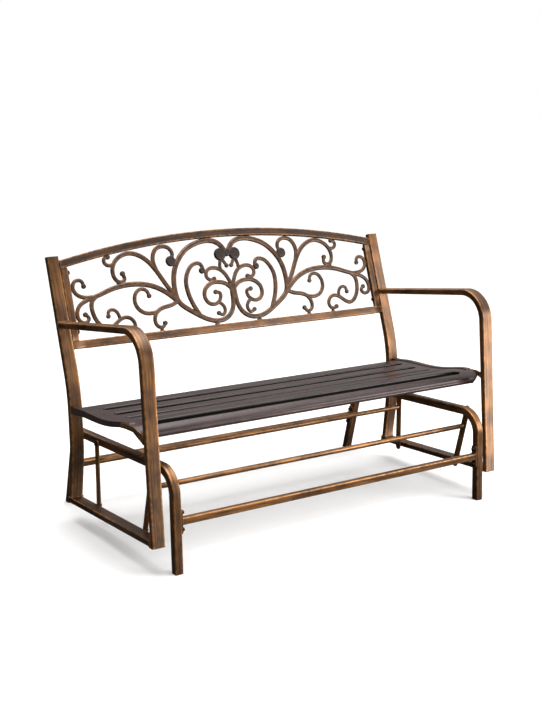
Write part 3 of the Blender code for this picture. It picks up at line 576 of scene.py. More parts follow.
def on_panel(x_up, forward=0.0):
    """Points (across, up the panel) of the back panel as points of the bench, moved out of its plane."""
    x_up = np.asarray(x_up, float)
    up = x_up[..., 1]
    y = panel_y(PANEL_FOOT) + up * math.sin(PANEL_ANGLE) - forward * math.cos(PANEL_ANGLE)
    z = PANEL_FOOT + up * math.cos(PANEL_ANGLE) + forward * math.sin(PANEL_ANGLE)
    return spread(x_up[..., 0], np.stack([y, z], -1))


# Materials


def add_node(tree, kind, settings=None, links=None):
    """Adds one node, sets its properties and input values by name, and links inputs from other sockets."""
    node = tree.nodes.new(kind)
    for key, value in (settings or {}).items():
        if isinstance(key, int) or key in node.inputs:
            node.inputs[key].default_value = value
        else:
            setattr(node, key, value)
    for key, socket in (links or {}).items():
        tree.links.new(socket, node.inputs[key])
    return node


def new_material(name, roughness, metallic, coat=0.0, coat_roughness=0.2):
    """A material with its uniform numbers set on the shader's own sockets."""
    material = bpy.data.materials.new(name)
    material.use_nodes = True
    tree = material.node_tree
    shader = tree.nodes["Principled BSDF"]
    values = (metallic, roughness, coat, coat_roughness)
    for key, value in zip(("Metallic", "Roughness", "Coat Weight", "Coat Roughness"), values):
        shader.inputs[key].default_value = value
    return material, tree, shader


def brushed_bronze(name, colours, amount, roughness, metallic, rise=(0.0, 0.1)):
    """Antique bronze powder coat: a brown ground, and gold rubbed on by a dry brush along each tube. The eye
    sees fine streaks lengthwise, broad golden and dark stretches and lighter corners where the brush caught.
    Where the wear attribute is negative the colour goes towards near black: painted shade in the seat's
    slots and painted dark reflections on the apron band and the bosses. The gold grows to its full share
    between the two heights of rise. Brush strokes are given by length and width in mm, patches and the
    coat's orange peel by size in mm; the real peel is finer and is drawn as coarse as it needs to show."""
    shade, ground, gold = ((*colour, 1.0) for colour in colours)
    material, tree, shader = new_material(name, roughness, metallic, coat=0.18, coat_roughness=0.25)
    uv = add_node(tree, "ShaderNodeUVMap", {"uv_map": "surface"})
    place = add_node(tree, "ShaderNodeTexCoord")
    made = {}
    # Name, length and width in mm, detail
    strokes = (("streak", 60.0, 1.1, 4.0), ("stripe", 150.0, 7.0, 3.0))
    for key, long_mm, wide_mm, detail in strokes:
        size = (1000 / long_mm, 1000 / wide_mm, 1.0)
        laid = add_node(tree, "ShaderNodeMapping", {"Scale": size}, {"Vector": uv.outputs[0]})
        settings = {"Scale": 1.0, "Detail": detail, "Roughness": 0.62}
        made[key] = add_node(tree, "ShaderNodeTexNoise", settings, {"Vector": laid.outputs[0]}).outputs[0]
    # Name, size in mm, detail
    for key, size_mm, detail in (("patch", 105.0, 2.0), ("mottle", 14.0, 3.0), ("peel", 1.2, 1.0)):
        settings = {"Scale": 1000 / size_mm, "Detail": detail, "Roughness": 0.55}
        links = {"Vector": place.outputs["Object"]}
        made[key] = add_node(tree, "ShaderNodeTexNoise", settings, links).outputs[0]
    made["worn"] = add_node(tree, "ShaderNodeAttribute", {"attribute_name": "worn"}).outputs["Fac"]
    parted = add_node(tree, "ShaderNodeSeparateXYZ", {}, {"Vector": place.outputs["Object"]})
    made["up"] = parted.outputs["Z"]
    # Name, source, and the range it is taken from and brought to
    spans = (
        ("height", "up", *rise, 0.35, 1.0),
        ("broad", "patch", 0.38, 0.60, 0.40, 1.0),
        ("laid", "stripe", 0.36, 0.60, 0.35, 1.0),
        ("fine", "streak", 0.34, 0.62, 0.40, 1.0),
        ("caught", "mottle", 0.40, 0.62, 0.15, 0.75),
        # deep is 1 where wear is 0 and 0 at -1: it carries the painted shade and painted dark reflections
        ("deep", "worn", -1.0, 0.0, 0.0, 1.0),
        ("rough", "streak", 0.30, 0.70, roughness - 0.08, roughness + 0.10),
    )
    for key, source, low, high, to_low, to_high in spans:
        limits = {"From Min": low, "From Max": high, "To Min": to_low, "To Max": to_high}
        made[key] = add_node(tree, "ShaderNodeMapRange", limits, {"Value": made[source]}).outputs[0]
    products = (
        ("brushed", "broad", "laid"),
        ("brushed", "brushed", "fine"),
        ("brushed", "brushed", "height"),
        ("edge", "worn", "caught"),
        ("tone", "stripe", "mottle"),
    )
    for key, first, second in products:
        settings = {"operation": "MULTIPLY", "use_clamp": True}
        made[key] = add_node(tree, "ShaderNodeMath", settings, {0: made[first], 1: made[second]}).outputs[0]
    settings = {"operation": "MULTIPLY_ADD", "use_clamp": True, 1: amount}
    share = add_node(tree, "ShaderNodeMath", settings, {0: made["brushed"], 2: made["edge"]}).outputs[0]
    limits = {"From Min": 0.16, "From Max": 0.36}
    lighter = add_node(tree, "ShaderNodeMapRange", limits, {"Value": made["tone"]}).outputs[0]
    coat = {"data_type": "RGBA", 6: shade, 7: ground}
    colour = add_node(tree, "ShaderNodeMix", coat, {0: lighter}).outputs[2]
    colour = add_node(tree, "ShaderNodeMix", {"data_type": "RGBA", 7: gold}, {0: share, 6: colour}).outputs[2]
    # Negative wear mixes the colour towards near black: painted shade in the seat's slots, painted dark
    # reflections on the apron band and the bosses
    painted_shade_black = {"data_type": "RGBA", 6: (0.003, 0.002, 0.002, 1.0)}
    colour = add_node(tree, "ShaderNodeMix", painted_shade_black, {0: made["deep"], 7: colour}).outputs[2]
    relief = add_node(tree, "ShaderNodeMath", {"operation": "ADD"}, {0: made["peel"], 1: made["streak"]})
    bump = {"Strength": 0.14, "Distance": 0.0004}
    normal = add_node(tree, "ShaderNodeBump", bump, {"Height": relief.outputs[0]}).outputs[0]
    for key, socket in (("Base Color", colour), ("Roughness", made["rough"]), ("Normal", normal)):
        tree.links.new(socket, shader.inputs[key])
    return material


def black_steel(name):
    """Blackened steel: zinc-dipped and blacked bolts, near black with a soft sheen and faint mottling."""
    material, tree, shader = new_material(name, 0.38, 0.75)
    place = add_node(tree, "ShaderNodeTexCoord")
    grain_mm = 2.5
    settings = {"Scale": 1000 / grain_mm, "Detail": 3.0}
    mottle = add_node(tree, "ShaderNodeTexNoise", settings, {"Vector": place.outputs["Object"]})
    tones = {"data_type": "RGBA", 6: (*srgb("#151212"), 1.0), 7: (*srgb("#322a26"), 1.0)}
    colour = add_node(tree, "ShaderNodeMix", tones, {0: mottle.outputs["Fac"]})
    tree.links.new(colour.outputs[2], shader.inputs["Base Color"])
    return material


FINISH = {}


def finishes():
    """The finishes by name, made once. A bronze row gives the coat's place, its share of gold, roughness and
    metallic value, and where it differs the heights between which the gold grows."""
    if FINISH:
        return FINISH
    colours = bpy.context.scene.bench_colours
    shade, brown, gold, seat = (tuple(getattr(colours, key)) for key in ("shade", "brown", "gold", "seat"))
    bronzes = (
        ("base", "base", 1.0, 0.34, 0.62),
        ("frame", "arms", 0.82, 0.34, 0.62, (-0.20, 0.35)),
        ("bar", "bars", 1.0, 0.32, 0.62),
        ("arch", "arch", 0.18, 0.38, 0.50),
        ("rail", "back_rail", 0.55, 0.34, 0.60),
        ("cast", "casting", 0.15, 0.40, 0.50),
    )
    for key, place, *values in bronzes:
        FINISH[key] = brushed_bronze(f"antique_bronze_on_{place}", (shade, brown, gold), *values)
    sheet = (srgb("#2a1e1f"), seat, srgb("#634b46"))
    FINISH["seat"] = brushed_bronze("brown_powder_coat_on_pressed_sheet", sheet, 0.5, 0.32, 0.45)
    FINISH["bolt"] = black_steel("blackened_steel")
    return FINISH


# Pieces


class BENCH_OT_base(bpy.types.Operator):
    """Bent square-tube base: two sides and two cross bars with bolting plates"""

    bl_idname = "bench.base"
    bl_label = "Base"

    def execute(self, context):
        sizes, look = context.scene.bench_sizes, finishes()
        half = BASE_TUBE / 2
        for side, sign in SIDES:
            path = spread(sign * (BASE_HALF - half), base_line())
            profile, worn = round_rectangle(BASE_TUBE, BASE_TUBE, sizes.corner)
            rings = carried(path, ACROSS, np.cross(tangents(path), ACROSS), profile)
            # Each end is cut level with the floor, with one more ring close by for straight shading
            ends = []
            for row, near in ((0, 1), (-1, -2)):
                run = rings[near] - rings[row]
                rings[row] = rings[row] - run * (rings[row][:, 2] / run[:, 2])[:, None]
                ends.append(rings[row] + (rings[near] - rings[row]) * 0.01)
            rings = np.concatenate([rings[:1], ends[:1], rings[1:-1], ends[1:], rings[-1:]])
            name, shape = f"base_side_{side}", surface(rings, worn=worn)
            piece(f"{name}_tube", "base", shape, look["base"], [name])
        slant = math.atan(REAR_LEG_SLOPE)
        reach = BASE_HALF - BASE_TUBE - GAP
        bars = (("front", (half, BAR_Z), 0.0), ("rear", (rear_leg(REAR_BAR_Z), REAR_BAR_Z), slant))
        for label, spot, turn in bars:
            section = round_rectangle(BAR_TUBE, BAR_TUBE, sizes.corner)
            shape = cross_tube(spot, reach - PLATE + GAP, section, turn)
            cos, sin = math.cos(turn), math.sin(turn)
            spin = np.array([[cos, sin], [-sin, cos]])
            plate = round_rectangle(PLATE_WIDE, 2 * (BOLT_SPREAD + PLATE_END), PLATE_CORNER)[0]
            for sign in (-1, 1):
                slab(plate @ spin + spot, sign * reach, sign * (reach - PLATE), edge=0.0008, shape=shape)
                ring = spread(sign * (reach - PLATE), even(section[0] @ spin + spot))
                bead(ring, ACROSS, sizes.bead, shape)
            name = f"base_{label}_bar"
            piece(f"{name}_tube", "base", shape, look["bar"], [name])
        return {"FINISHED"}


class BENCH_OT_links(bpy.types.Operator):
    """Swing links and the round rods that tie each pair together"""

    bl_idname = "bench.links"
    bl_label = "Swing links"

    def execute(self, context):
        look = finishes()
        a = np.linspace(0, math.pi, 19)
        for label, top, low, drop in LINKS:
            top, low = np.array(top), np.array(low)
            along = unit(top - low)
            across = np.array([along[1], -along[0]])
            arc = LINK_WIDE / 2 * (np.cos(a)[:, None] * across + np.sin(a)[:, None] * along)
            outline = np.vstack([top + arc, low - along * LINK_TAIL - arc])
            for side, sign in SIDES:
                name = f"link_{label}_{side}"
                bar = slab(outline, sign * LINK_X, sign * LINK_X + sign * LINK_THICK, edge=0.0012)
                piece(f"{name}_bar", f"{label}_link", bar, look["bar"], [name])
            middle = top - along * drop
            rod = cross_tube(middle, LINK_X - GAP, circle(ROD_RADIUS))
            size = ROD_RADIUS - ROD_STEP
            rivet = ((0.0, size), (0.45, 0.96 * size), (0.80, 0.70 * size), (1.0, 0.0002))
            for sign in (-1, 1):
                outer = (sign * (LINK_X + LINK_THICK), *lean(middle))
                turned([(out * ROD_STEP, r) for out, r in rivet], outer, (sign, 0, 0), shape=rod)
            piece(f"rod_{label}_bar", f"{label}_link", rod, look["bar"], [f"rod_{label}"])
        return {"FINISHED"}


class BENCH_OT_seat_frame(bpy.types.Operator):
    """Arm rests with their legs, rear posts and the bottom rails of the gliding seat"""

    bl_idname = "bench.seat_frame"
    bl_label = "Seat frame"

    def execute(self, context):
        sizes, look = context.scene.bench_sizes, finishes()
        half = FRAME_DEEP / 2
        heights = (RAIL_LOW + RAIL_TALL + GAP, POST_LOW_BEND, POST_TOP_BEND, POST_HEIGHT)
        centre = [(post_face(z) + half, z) for z in heights]
        post_line = bent(centre, [POST_BEND + half, POST_BEND - half], 24)
        middle = half * math.hypot(1, LEG_SLOPE)
        corner_z = arm_top(0.035) - half
        end_y = post_face(ARM_HEIGHT) - 2 * GAP
        leg_foot = (leg_face(RAIL_LOW) + middle, RAIL_LOW)
        arm_end = (end_y, arm_top(end_y) - half)
        arm_line = bent([leg_foot, (leg_face(corner_z) + middle, corner_z), arm_end], [ARM_BEND])
        rail_mid = RAIL_LOW + RAIL_TALL / 2
        rail_end = (post_face(rail_mid) + FRAME_DEEP, rail_mid)
        rail_line = [(leg_back(rail_mid), rail_mid), rail_end]
        # Name, centre line, depth, place of its weld, how that lies in (y, z), and the way the weld faces
        upward, rearward = lean_way(0.0, 1.0), lean_way(1.0, 0.0)
        pieces = (
            ("post", post_line, FRAME_DEEP, centre[0], (1, 0), upward),
            ("arm", arm_line, FRAME_DEEP, arm_end, (0, 1), rearward),
            ("seat_rail", rail_line, RAIL_TALL, rail_line[0], (0, 1), rearward),
        )
        for side, sign in SIDES:
            x = sign * (HALF - FRAME_WIDE / 2)
            for name, line, deep, weld, out, way in pieces:
                sides = (FRAME_WIDE, deep, sizes.corner)
                shape = tube(spread(x, np.asarray(line)), ACROSS, None, sides, edge=0.0012)
                section = even(round_rectangle(*sides)[0], 0.0013)
                ring = spread(x + section[:, 0], np.array(weld) + section[:, 1:] * np.array(out))
                bead(ring, way, sizes.bead, shape)
                node = f"{name}_{side}"
                piece(f"{node}_tube", "seat", shape, look["frame"], [node])
        return {"FINISHED"}


PAN_SECTION = (
    (0.962, -0.001), (0.885, 0.005), (0.805, 0.005), (0.674, 0.001), (0.543, 0.003), (0.4125, 0.018),
    (0.312, 0.032), (0.2515, 0.033), (0.205, 0.022), (0.177, 0.001), (0.161, -0.028),
)


def pan_line(per_step=16):
    """The top face of the seat sheet, a spline from its rear edge to the front lip, with a pressed crease
    near the foot of the apron: y moves back by 1.1 mm * exp(-((z - crease) / 1.6 mm)^2)."""
    line = spline([(back * SEAT_DEPTH, SEAT_HEIGHT + up * SEAT_DEPTH) for back, up in PAN_SECTION], per_step)
    crease_z, half_wide, deep = SEAT_HEIGHT - 0.0075, 0.0016, 0.0011
    apart = (line[:, 1] - crease_z) / half_wide
    crease = deep * np.exp(-np.square(apart)) * (line[:, 0] < APRON)
    return line + np.stack([crease, 0 * crease], -1)


def pan_height(y):
    """Height of the seat's top face at depth y, read from its line."""
    line = pan_line()
    return np.interp(y, line[::-1, 0], line[::-1, 1])


def pan_profile():
    """The seat sheet's whole section from its rear flange to its front lip: points and distance along it."""
    line = pan_line()
    flange_tall, rear_bend, lip_bend = 0.016, 0.0028, 0.0025
    rear = line[0] + (0.0035, 0.0)
    flange = rear - (0, flange_tall)
    low = line[-1]
    tuck, end = low + (0.0030, -0.0070), low + (0.0110, -0.0090)
    head, foot = arc_corner(flange, rear, line[1], rear_bend, 6), arc_corner(low, tuck, end, lip_bend, 6)
    whole = np.vstack([flange, head, line[1:], foot, end])
    keep = np.concatenate([[True], np.linalg.norm(np.diff(whole, axis=0), axis=1) > 1e-6])
    whole = whole[keep]
    return whole, lengths(whole)


def pan_surface(x, s, drop, whole, run):
    """Points of the seat: at distance s along the section, x across, sunk by drop along the sheet's normal,
    which is square to the chord from 0.6 mm before to 0.6 mm after."""
    x, s, drop = np.broadcast_arrays(x, s, drop)
    near = (0, -0.0006, 0.0006)
    spots = [np.stack([np.interp(s + step, run, whole[:, k]) for k in (0, 1)], -1) for step in near]
    here, before, after = spots
    way = unit(after - before)
    normal = np.stack([way[..., 1], -way[..., 0]], -1)
    normal = normal * np.sign(normal[..., 1:2] + 1e-9)
    return spread(x, here - normal * drop[..., None])


def side_lines():
    """The upper and lower edges of a seat side, from the post to where it runs in under the apron. Its height
    in shares of SEAT_DEPTH grows by the gain from front to rear."""
    clear = SHEET + 2 * GAP
    tall, gain = 0.028, 0.020
    top = pan_line(6)
    top = top[top[:, 0] > APRON + SIDE_OUT] + (0, SIDE_OUT)
    top[0] = (SEAT_DEPTH - GAP, SEAT_HEIGHT + 0.008 * SEAT_DEPTH)
    low = top - np.stack([0 * top[:, 0], SEAT_DEPTH * (tall + gain * top[:, 0] / SEAT_DEPTH)], -1)
    step = APRON + GAP
    crest = pan_height(step)
    nose = np.array([0.225, 0.200]) * SEAT_DEPTH
    tucked = np.stack([nose, pan_height(nose + clear) - 1.6 * clear], -1)
    top = np.vstack([top, (step, crest + SIDE_OUT), (step, crest - clear), tucked])
    low = np.vstack([low, [(y, crest - STRAP_TALL) for y in (step, nose[-1])]])
    return top, low


class BENCH_OT_seat(bpy.types.Operator):
    """Pressed seat sheet with rolled slots, its curved side rails and the straps that carry its front"""

    bl_idname = "bench.seat"
    bl_label = "Seat"

    def execute(self, context):
        sizes, look = context.scene.bench_sizes, finishes()
        self.pan(sizes, look)
        top, low = side_lines()
        outline = np.vstack([top, low[::-1]])
        for side, sign in SIDES:
            shape = slab(outline, sign * (HALF - SIDE_OUT), sign * (HALF - SIDE_IN), edge=0.0022, steps=5)
            name = f"seat_side_{side}"
            piece(f"{name}_rail", "seat", shape, look["seat"], [name])
            name = f"seat_bracket_{side}"
            piece(f"{name}_strap", "seat", self.strap(sign), look["base"], [name])
        return {"FINISHED"}

    def strap(self, sign):
        """The strap that runs along a seat side from rear to its front end, there bends and goes on down to
        the arm leg, and its bolted tab."""
        rear, bend = 0.34 * SEAT_DEPTH, 0.8 * APRON
        high = SEAT_HEIGHT + 0.009 * SEAT_DEPTH
        foot = high - BRACKET_DEEP - STRAP_DROP
        back = np.linspace(rear, APRON, 6)
        crest = pan_height(APRON)
        upper = [(y, pan_height(y)) for y in back] + [(bend, crest), (leg_back(high), high)]
        lower = [(leg_back(foot), foot), (bend, crest - STRAP_TALL)]
        lower += [(y, pan_height(y) - STRAP_TALL) for y in back[::-1]]
        shape = slab(upper + lower, sign * HALF, sign * (HALF - SIDE_OUT + GAP), edge=0.0007)
        tab = [(leg_back(z) + step, z) for z, step in ((high, 0), (high, PLATE), (foot, PLATE), (foot, 0))]
        return slab(tab, sign * (HALF - 0.0002), sign * (HALF - SIDE_IN), edge=0.0006, shape=shape)

    def pan(self, sizes, look):
        """Each band of the sheet, from mid-slat to mid-slat, is two half bands. A half band's rows run from
        inside the slot, over its rolled rim and out to mid-slat; its columns follow the slot's round ends.
        Beside the bands the sheet turns down at the side rails, and ahead of them it reaches over them. The
        apron's lower corners are cut back by CORNER_CUT * share^1.5 between cut_from below its bend and
        cut_to above its lip. A band under the bend is painted dark, a painted dark reflection; inside the
        slots the walls are painted near black as painted shade, and the rims lighter, rubbed wear and a
        painted highlight."""
        whole, run = pan_profile()
        rim = sizes.rim
        reach = HALF - SIDE_IN - GAP
        wide = HALF - SIDE_OUT
        straight = reach - SLOT_END - SLOT_HALF
        order = np.argsort(whole[:, 0], kind="stable")

        def distance(y):
            return np.interp(y, whole[order, 0], run[order])

        centres = distance((SLOT_FIRST - SLOT_PITCH * np.arange(5)) * SEAT_DEPTH)
        step_s = distance(APRON)
        middles = (centres[1:] + centres[:-1]) / 2
        stops = np.concatenate([[2 * centres[0] - middles[0]], middles, [centres[-1] + NOSE_RUN]])
        a = np.linspace(0, math.pi / 2, 9)
        inner = np.linspace(-straight, straight, 61)[1:-1]
        x0 = np.concatenate([np.full(9, -straight), inner, np.full(9, straight)])
        turn = np.concatenate([-a[::-1], np.zeros(59), a])
        b = np.linspace(0, math.pi / 2, 6)
        rim_out = np.concatenate([[0.0, 0.0], rim * (1 - np.cos(b))])[:, None]
        wall = [rim + SLOT_FLANGE, rim + 0.5 * SLOT_FLANGE]
        rim_drop = np.concatenate([wall, rim * (1 - np.sin(b))])[:, None]
        flat_x = x0 + (SLOT_HALF + rim) * np.sin(turn)
        near_x = np.linspace(flat_x[-1], reach - rim, 9)[:-1]
        end_x = np.concatenate([near_x, reach - rim + rim * np.sin(b), [reach]])
        end_drop = np.concatenate([np.zeros(8), rim * (1 - np.cos(b)), [rim + END_FLANGE]])
        apron_x = np.concatenate([near_x, np.linspace(reach - rim, wide - 0.001, 8), [wide - 0.0003, wide]])
        apron_drop = np.concatenate([np.zeros(16), [0.0003, 0.0010]])
        cut_from, cut_to = 0.008, 0.012
        band = np.array([0, 0.006, 0.022, 0.030])
        shape = Shape()

        def patch(x, s, drop, worn=0.05):
            sheet = pan_surface(x, s, drop, whole, run).transpose(1, 0, 2)
            surface(sheet, closed=False, worn=worn, shape=shape)

        for k, centre in enumerate(centres):
            for way, stop in ((-1, stops[k]), (1, stops[k + 1])):
                share = np.linspace(0, 1, 8)
                cut = (step_s - centre) / (stop - centre)
                inside = 0 < cut < 1
                if inside:
                    share = np.sort(np.append(share, cut))
                x = x0[None] + (SLOT_HALF + rim_out) * np.sin(turn)[None]
                s = centre + way * (SLOT_HALF + rim_out) * np.cos(turn)[None]
                rows = share[1:, None]
                x = np.vstack([x, np.broadcast_to(flat_x, (len(rows), len(flat_x)))])
                s = np.vstack([s, s[-1:] + (stop - s[-1:]) * rows])
                drop = np.vstack([np.broadcast_to(rim_drop, (len(rim_drop), len(x0))), 0 * rows * x0])
                # Down each slot the wear goes from the flat, to a lighter rim that is rubbed wear and a
                # painted highlight, to near black on the wall: painted shade inside the slot
                depths = np.array([0.0, 0.03, 0.15, 0.4]) * rim
                patch(x, s, drop, np.interp(drop[:, 0], depths, (0.05, 0.5, -0.6, -1.0)))
                s = (centre + (stop - centre) * share)[:, None]
                ahead = share <= cut + 1e-9 if inside else np.full(len(share), centre > step_s)
                behind = share >= cut - 1e-9 if inside else ~ahead
                for sign in (-1, 1):
                    if ahead.sum() > 1:
                        patch(sign * apron_x, s[ahead], apron_drop)
                    if behind.sum() > 1:
                        patch(sign * end_x, s[behind], end_drop)
        ends = ((0.0, stops[0], end_x, end_drop), (stops[-1], run[-1], apron_x, apron_drop))
        for begin, end, side_x, side_drop in ends:
            columns = np.concatenate([-side_x[::-1], flat_x[1:-1], side_x])
            drops = np.concatenate([side_drop[::-1], np.zeros(len(flat_x) - 2), side_drop])
            inside = run[(run > begin + 1e-4) & (run < end - 1e-4)]
            rows = np.concatenate([[begin], inside, [end]])[:, None]
            if begin:
                down = (rows - begin - cut_from) / (end - begin - cut_from - cut_to)
                columns = columns * (1 - CORNER_CUT / wide * np.clip(down, 0, 1) ** 1.5)
            # A band under the apron's bend is painted dark: a painted dark reflection
            shaded = np.interp(rows[:, 0], begin + band, (0, -0.6, -0.5, 0.05))
            patch(columns, rows, drops, shaded if begin else 0.05)
        obj = piece("seat_pan_sheet", "seat", shape, look["seat"], ["seat_pan"], merge=True)
        solid = obj.modifiers.new("sheet", "SOLIDIFY")
        solid.thickness = SHEET_WALL
        solid.offset = -1.0


class BENCH_OT_back_frame(bpy.types.Operator):
    """Arched top tube, bottom rail and side members of the back panel"""

    bl_idname = "bench.back_frame"
    bl_label = "Back frame"

    def execute(self, context):
        sizes, look = context.scene.bench_sizes, finishes()
        reach, half, bead_in = INNER - GAP, PANEL_RAIL / 2, 0.0010
        x = np.linspace(-reach, reach, 97)
        arch = np.stack([x, arch_up(x)], -1)
        bottom = np.stack([np.linspace(-reach, reach, 25), np.full(25, half)], -1)
        pieces = [("back_arch", arch, PANEL_RAIL, "arch"), ("back_bottom_rail", bottom, PANEL_RAIL, "rail")]
        for side, sign in SIDES:
            mid = sign * (reach - PANEL_TUBE / 2)
            rise = np.linspace(PANEL_RAIL + GAP, arch_up(mid) - half - 2 * GAP, 9)
            line = np.stack([np.full(9, mid), rise], -1)
            pieces.append((f"back_side_{side}", line, PANEL_TUBE, "rail"))
        section = even(round_rectangle(PANEL_RAIL, PANEL_DEEP, PANEL_CORNER)[0])
        for name, line, wide, finish in pieces:
            shape = tube(on_panel(line), None, PANEL_FRONT, (wide, PANEL_DEEP, PANEL_CORNER))
            for k, inward in ((0, bead_in), (-1, -bead_in)):
                if not name.startswith("back_side"):
                    around = PANEL_UP[None] * section[:, :1] + PANEL_FRONT[None] * section[:, 1:]
                    bead(on_panel(line[k] + (inward, 0.0)) + around, ACROSS, sizes.bead, shape)
            piece(f"{name}_tube", "seat", shape, look[finish], [name])
        return {"FINISHED"}


def arch_up(x):
    """Height of the arch's middle line up the panel: a circle of ARCH_RADIUS through its crown."""
    return ARCH_RISE - (ARCH_RADIUS - np.sqrt(ARCH_RADIUS**2 - np.square(x)))


# Each scroll is drawn by a few points, as shares of the panel's clear half width and of its height
HEART = [
    (0.014, 0.821), (0.0385, 0.881), (0.0805, 0.9231), (0.1436, 0.9311), (0.2101, 0.9041), (0.2661, 0.8579),
    (0.3151, 0.7811), (0.3536, 0.6827), (0.3746, 0.5658), (0.3782, 0.4551), (0.3641, 0.3413),
    (0.3221, 0.2706), (0.2626, 0.203), (0.1996, 0.143), (0.1401, 0.1169), (0.084, 0.1292), (0.0368, 0.1876),
    (0.014, 0.2768), (0.0096, 0.369), (0.0079, 0.4613),
]
EAR = [
    (0.2451, 0.1907), (0.2766, 0.3014), (0.2976, 0.4305), (0.2959, 0.5597), (0.2731, 0.6427),
    (0.2311, 0.7042), (0.1891, 0.6996), (0.1768, 0.655),
]
EYE = [
    (0.0123, 0.4367), (0.042, 0.4797), (0.0788, 0.5012), (0.119, 0.5043), (0.1593, 0.4797),
    (0.1891, 0.4244), (0.1926, 0.3506), (0.1681, 0.2952), (0.1296, 0.2875), (0.0963, 0.3321),
    (0.091, 0.3875), (0.119, 0.4059),
]
EYE_TAIL = [
    (0.105, 0.2983), (0.0823, 0.2583), (0.077, 0.2091), (0.0945, 0.1722), (0.1208, 0.1907),
]
CROWN = [
    (0.0053, 0.4674), (0.0245, 0.5443), (0.0525, 0.6119), (0.1015, 0.6504), (0.1471, 0.6335),
    (0.1628, 0.5812), (0.1453, 0.5351), (0.1138, 0.5381),
]
BUD = [
    (0.0613, 0.6242), (0.0595, 0.6827), (0.0473, 0.738),
]
HOOK = [
    (0.0438, 0.7442), (0.0325, 0.712), (0.0160, 0.664),
]
UPPER = [
    (0.3834, 0.4059), (0.4272, 0.5228), (0.4727, 0.6642), (0.5287, 0.7872), (0.5847, 0.8456),
    (0.6268, 0.8595), (0.6758, 0.8395), (0.716, 0.7903), (0.7388, 0.7103), (0.7353, 0.6365),
    (0.7073, 0.5889), (0.6775, 0.6058), (0.6828, 0.6673),
]
UPPER_LEAF = [
    (0.7283, 0.7626), (0.7616, 0.758), (0.7808, 0.7903), (0.7756, 0.8272), (0.7546, 0.8379),
]
SHOOT = [
    (0.4692, 0.6581), (0.4832, 0.738), (0.4797, 0.818), (0.4517, 0.8856), (0.4132, 0.9041),
    (0.3729, 0.8795), (0.3571, 0.8241), (0.3694, 0.7688),
]
MIDDLE = [
    (0.3782, 0.3629), (0.4132, 0.4182), (0.4762, 0.4935), (0.5462, 0.5397), (0.6215, 0.5566),
    (0.7003, 0.5504), (0.7738, 0.5228), (0.8403, 0.4843), (0.9244, 0.4397), (0.9664, 0.3936),
    (0.9848, 0.326), (0.9751, 0.2552), (0.9436, 0.2368), (0.9226, 0.2706), (0.9401, 0.3106),
]
MIDDLE_LEAF = [
    (0.8578, 0.4736), (0.9244, 0.472), (0.9664, 0.5012), (0.9865, 0.5689), (0.9681, 0.6319),
    (0.9331, 0.6304), (0.9226, 0.5781),
]
HOOP = [
    (0.8578, 0.4736), (0.8894, 0.4244), (0.8964, 0.3444), (0.8859, 0.2645), (0.8596, 0.1937),
    (0.8193, 0.1568), (0.7773, 0.1876), (0.7423, 0.2306), (0.7003, 0.246), (0.6653, 0.206),
    (0.6618, 0.1384), (0.6863, 0.1107), (0.7108, 0.1261),
]
HOOP_LEAF = [
    (0.7423, 0.2337), (0.7511, 0.2952), (0.7721, 0.329), (0.8001, 0.3229), (0.8088, 0.2737),
]
LOWER = [
    (0.3746, 0.3506), (0.4167, 0.3198), (0.4692, 0.3029), (0.5147, 0.2614), (0.5322, 0.1999),
    (0.5235, 0.1322), (0.4937, 0.1138), (0.4744, 0.1507),
]
LOWER_LEAF = [
    (0.5077, 0.2706), (0.5567, 0.2598), (0.6022, 0.2829), (0.6338, 0.3536), (0.6338, 0.4305),
    (0.6127, 0.4859), (0.583, 0.5028), (0.555, 0.4797), (0.5445, 0.4305),
]

# Line, width at root and tip in shares of SCROLL_BAR, depth in shares of SCROLL_DEEP, knob at the tip
CENTRE = (
    (HEART, 1.00, 0.90, 1.00, False),
    (EAR, 0.88, 0.74, 0.92, False),
    (EYE, 0.84, 0.68, 0.88, True),
    (EYE_TAIL, 0.69, 0.66, 0.84, True),
    (CROWN, 0.78, 0.68, 0.81, True),
    (BUD, 0.66, 0.72, 0.79, False),
    (HOOK, 0.66, 0.64, 0.77, True),
)
WING = (
    (MIDDLE, 0.97, 0.66, 1.00, True),
    (UPPER, 0.88, 0.72, 0.96, True),
    (UPPER_LEAF, 0.69, 0.66, 0.84, True),
    (SHOOT, 0.81, 0.72, 0.88, False),
    (MIDDLE_LEAF, 0.75, 0.66, 0.86, True),
    (HOOP, 0.81, 0.68, 0.90, True),
    (HOOP_LEAF, 0.66, 0.64, 0.80, True),
    (LOWER, 0.81, 0.68, 0.94, True),
    (LOWER_LEAF, 0.78, 0.66, 0.82, True),
)

# Bosses: place in shares of the panel, radius in shares of SCROLL_BAR, depth in shares of SCROLL_DEEP
CENTRE_BOSSES = ((0.0481, 0.7826, 1.20, 1.13), (0.1838, 0.6335, 0.62, 0.96))
MIDDLE_BOSS = (0.0, 0.7949, 0.72, 1.08)
WING_BOSSES = ((0.3746, 0.7518, 0.97, 1.02), (0.7143, 0.5738, 0.42, 0.78))
CENTRE_FOOT = (0.1436, 1.0)
WING_FEET = ((0.5007, 0.75), (0.6793, 0.62))


def cast_section(sides=20):
    """The scrolls' section, a squared oval: x = 0.5 sign(cos)|cos|^0.72, y = 0.5 sign(sin)|sin|^0.85, with
    wear on its four shoulders."""
    a = np.linspace(0, math.tau, sides, endpoint=False)
    cos, sin = np.cos(a), np.sin(a)
    x = 0.5 * np.sign(cos) * np.abs(cos) ** 0.72
    y = 0.5 * np.sign(sin) * np.abs(sin) ** 0.85
    return np.stack([x, y], -1), 0.05 + 0.55 * np.clip(np.abs(sin) * np.abs(cos) * 2, 0, 1) ** 2


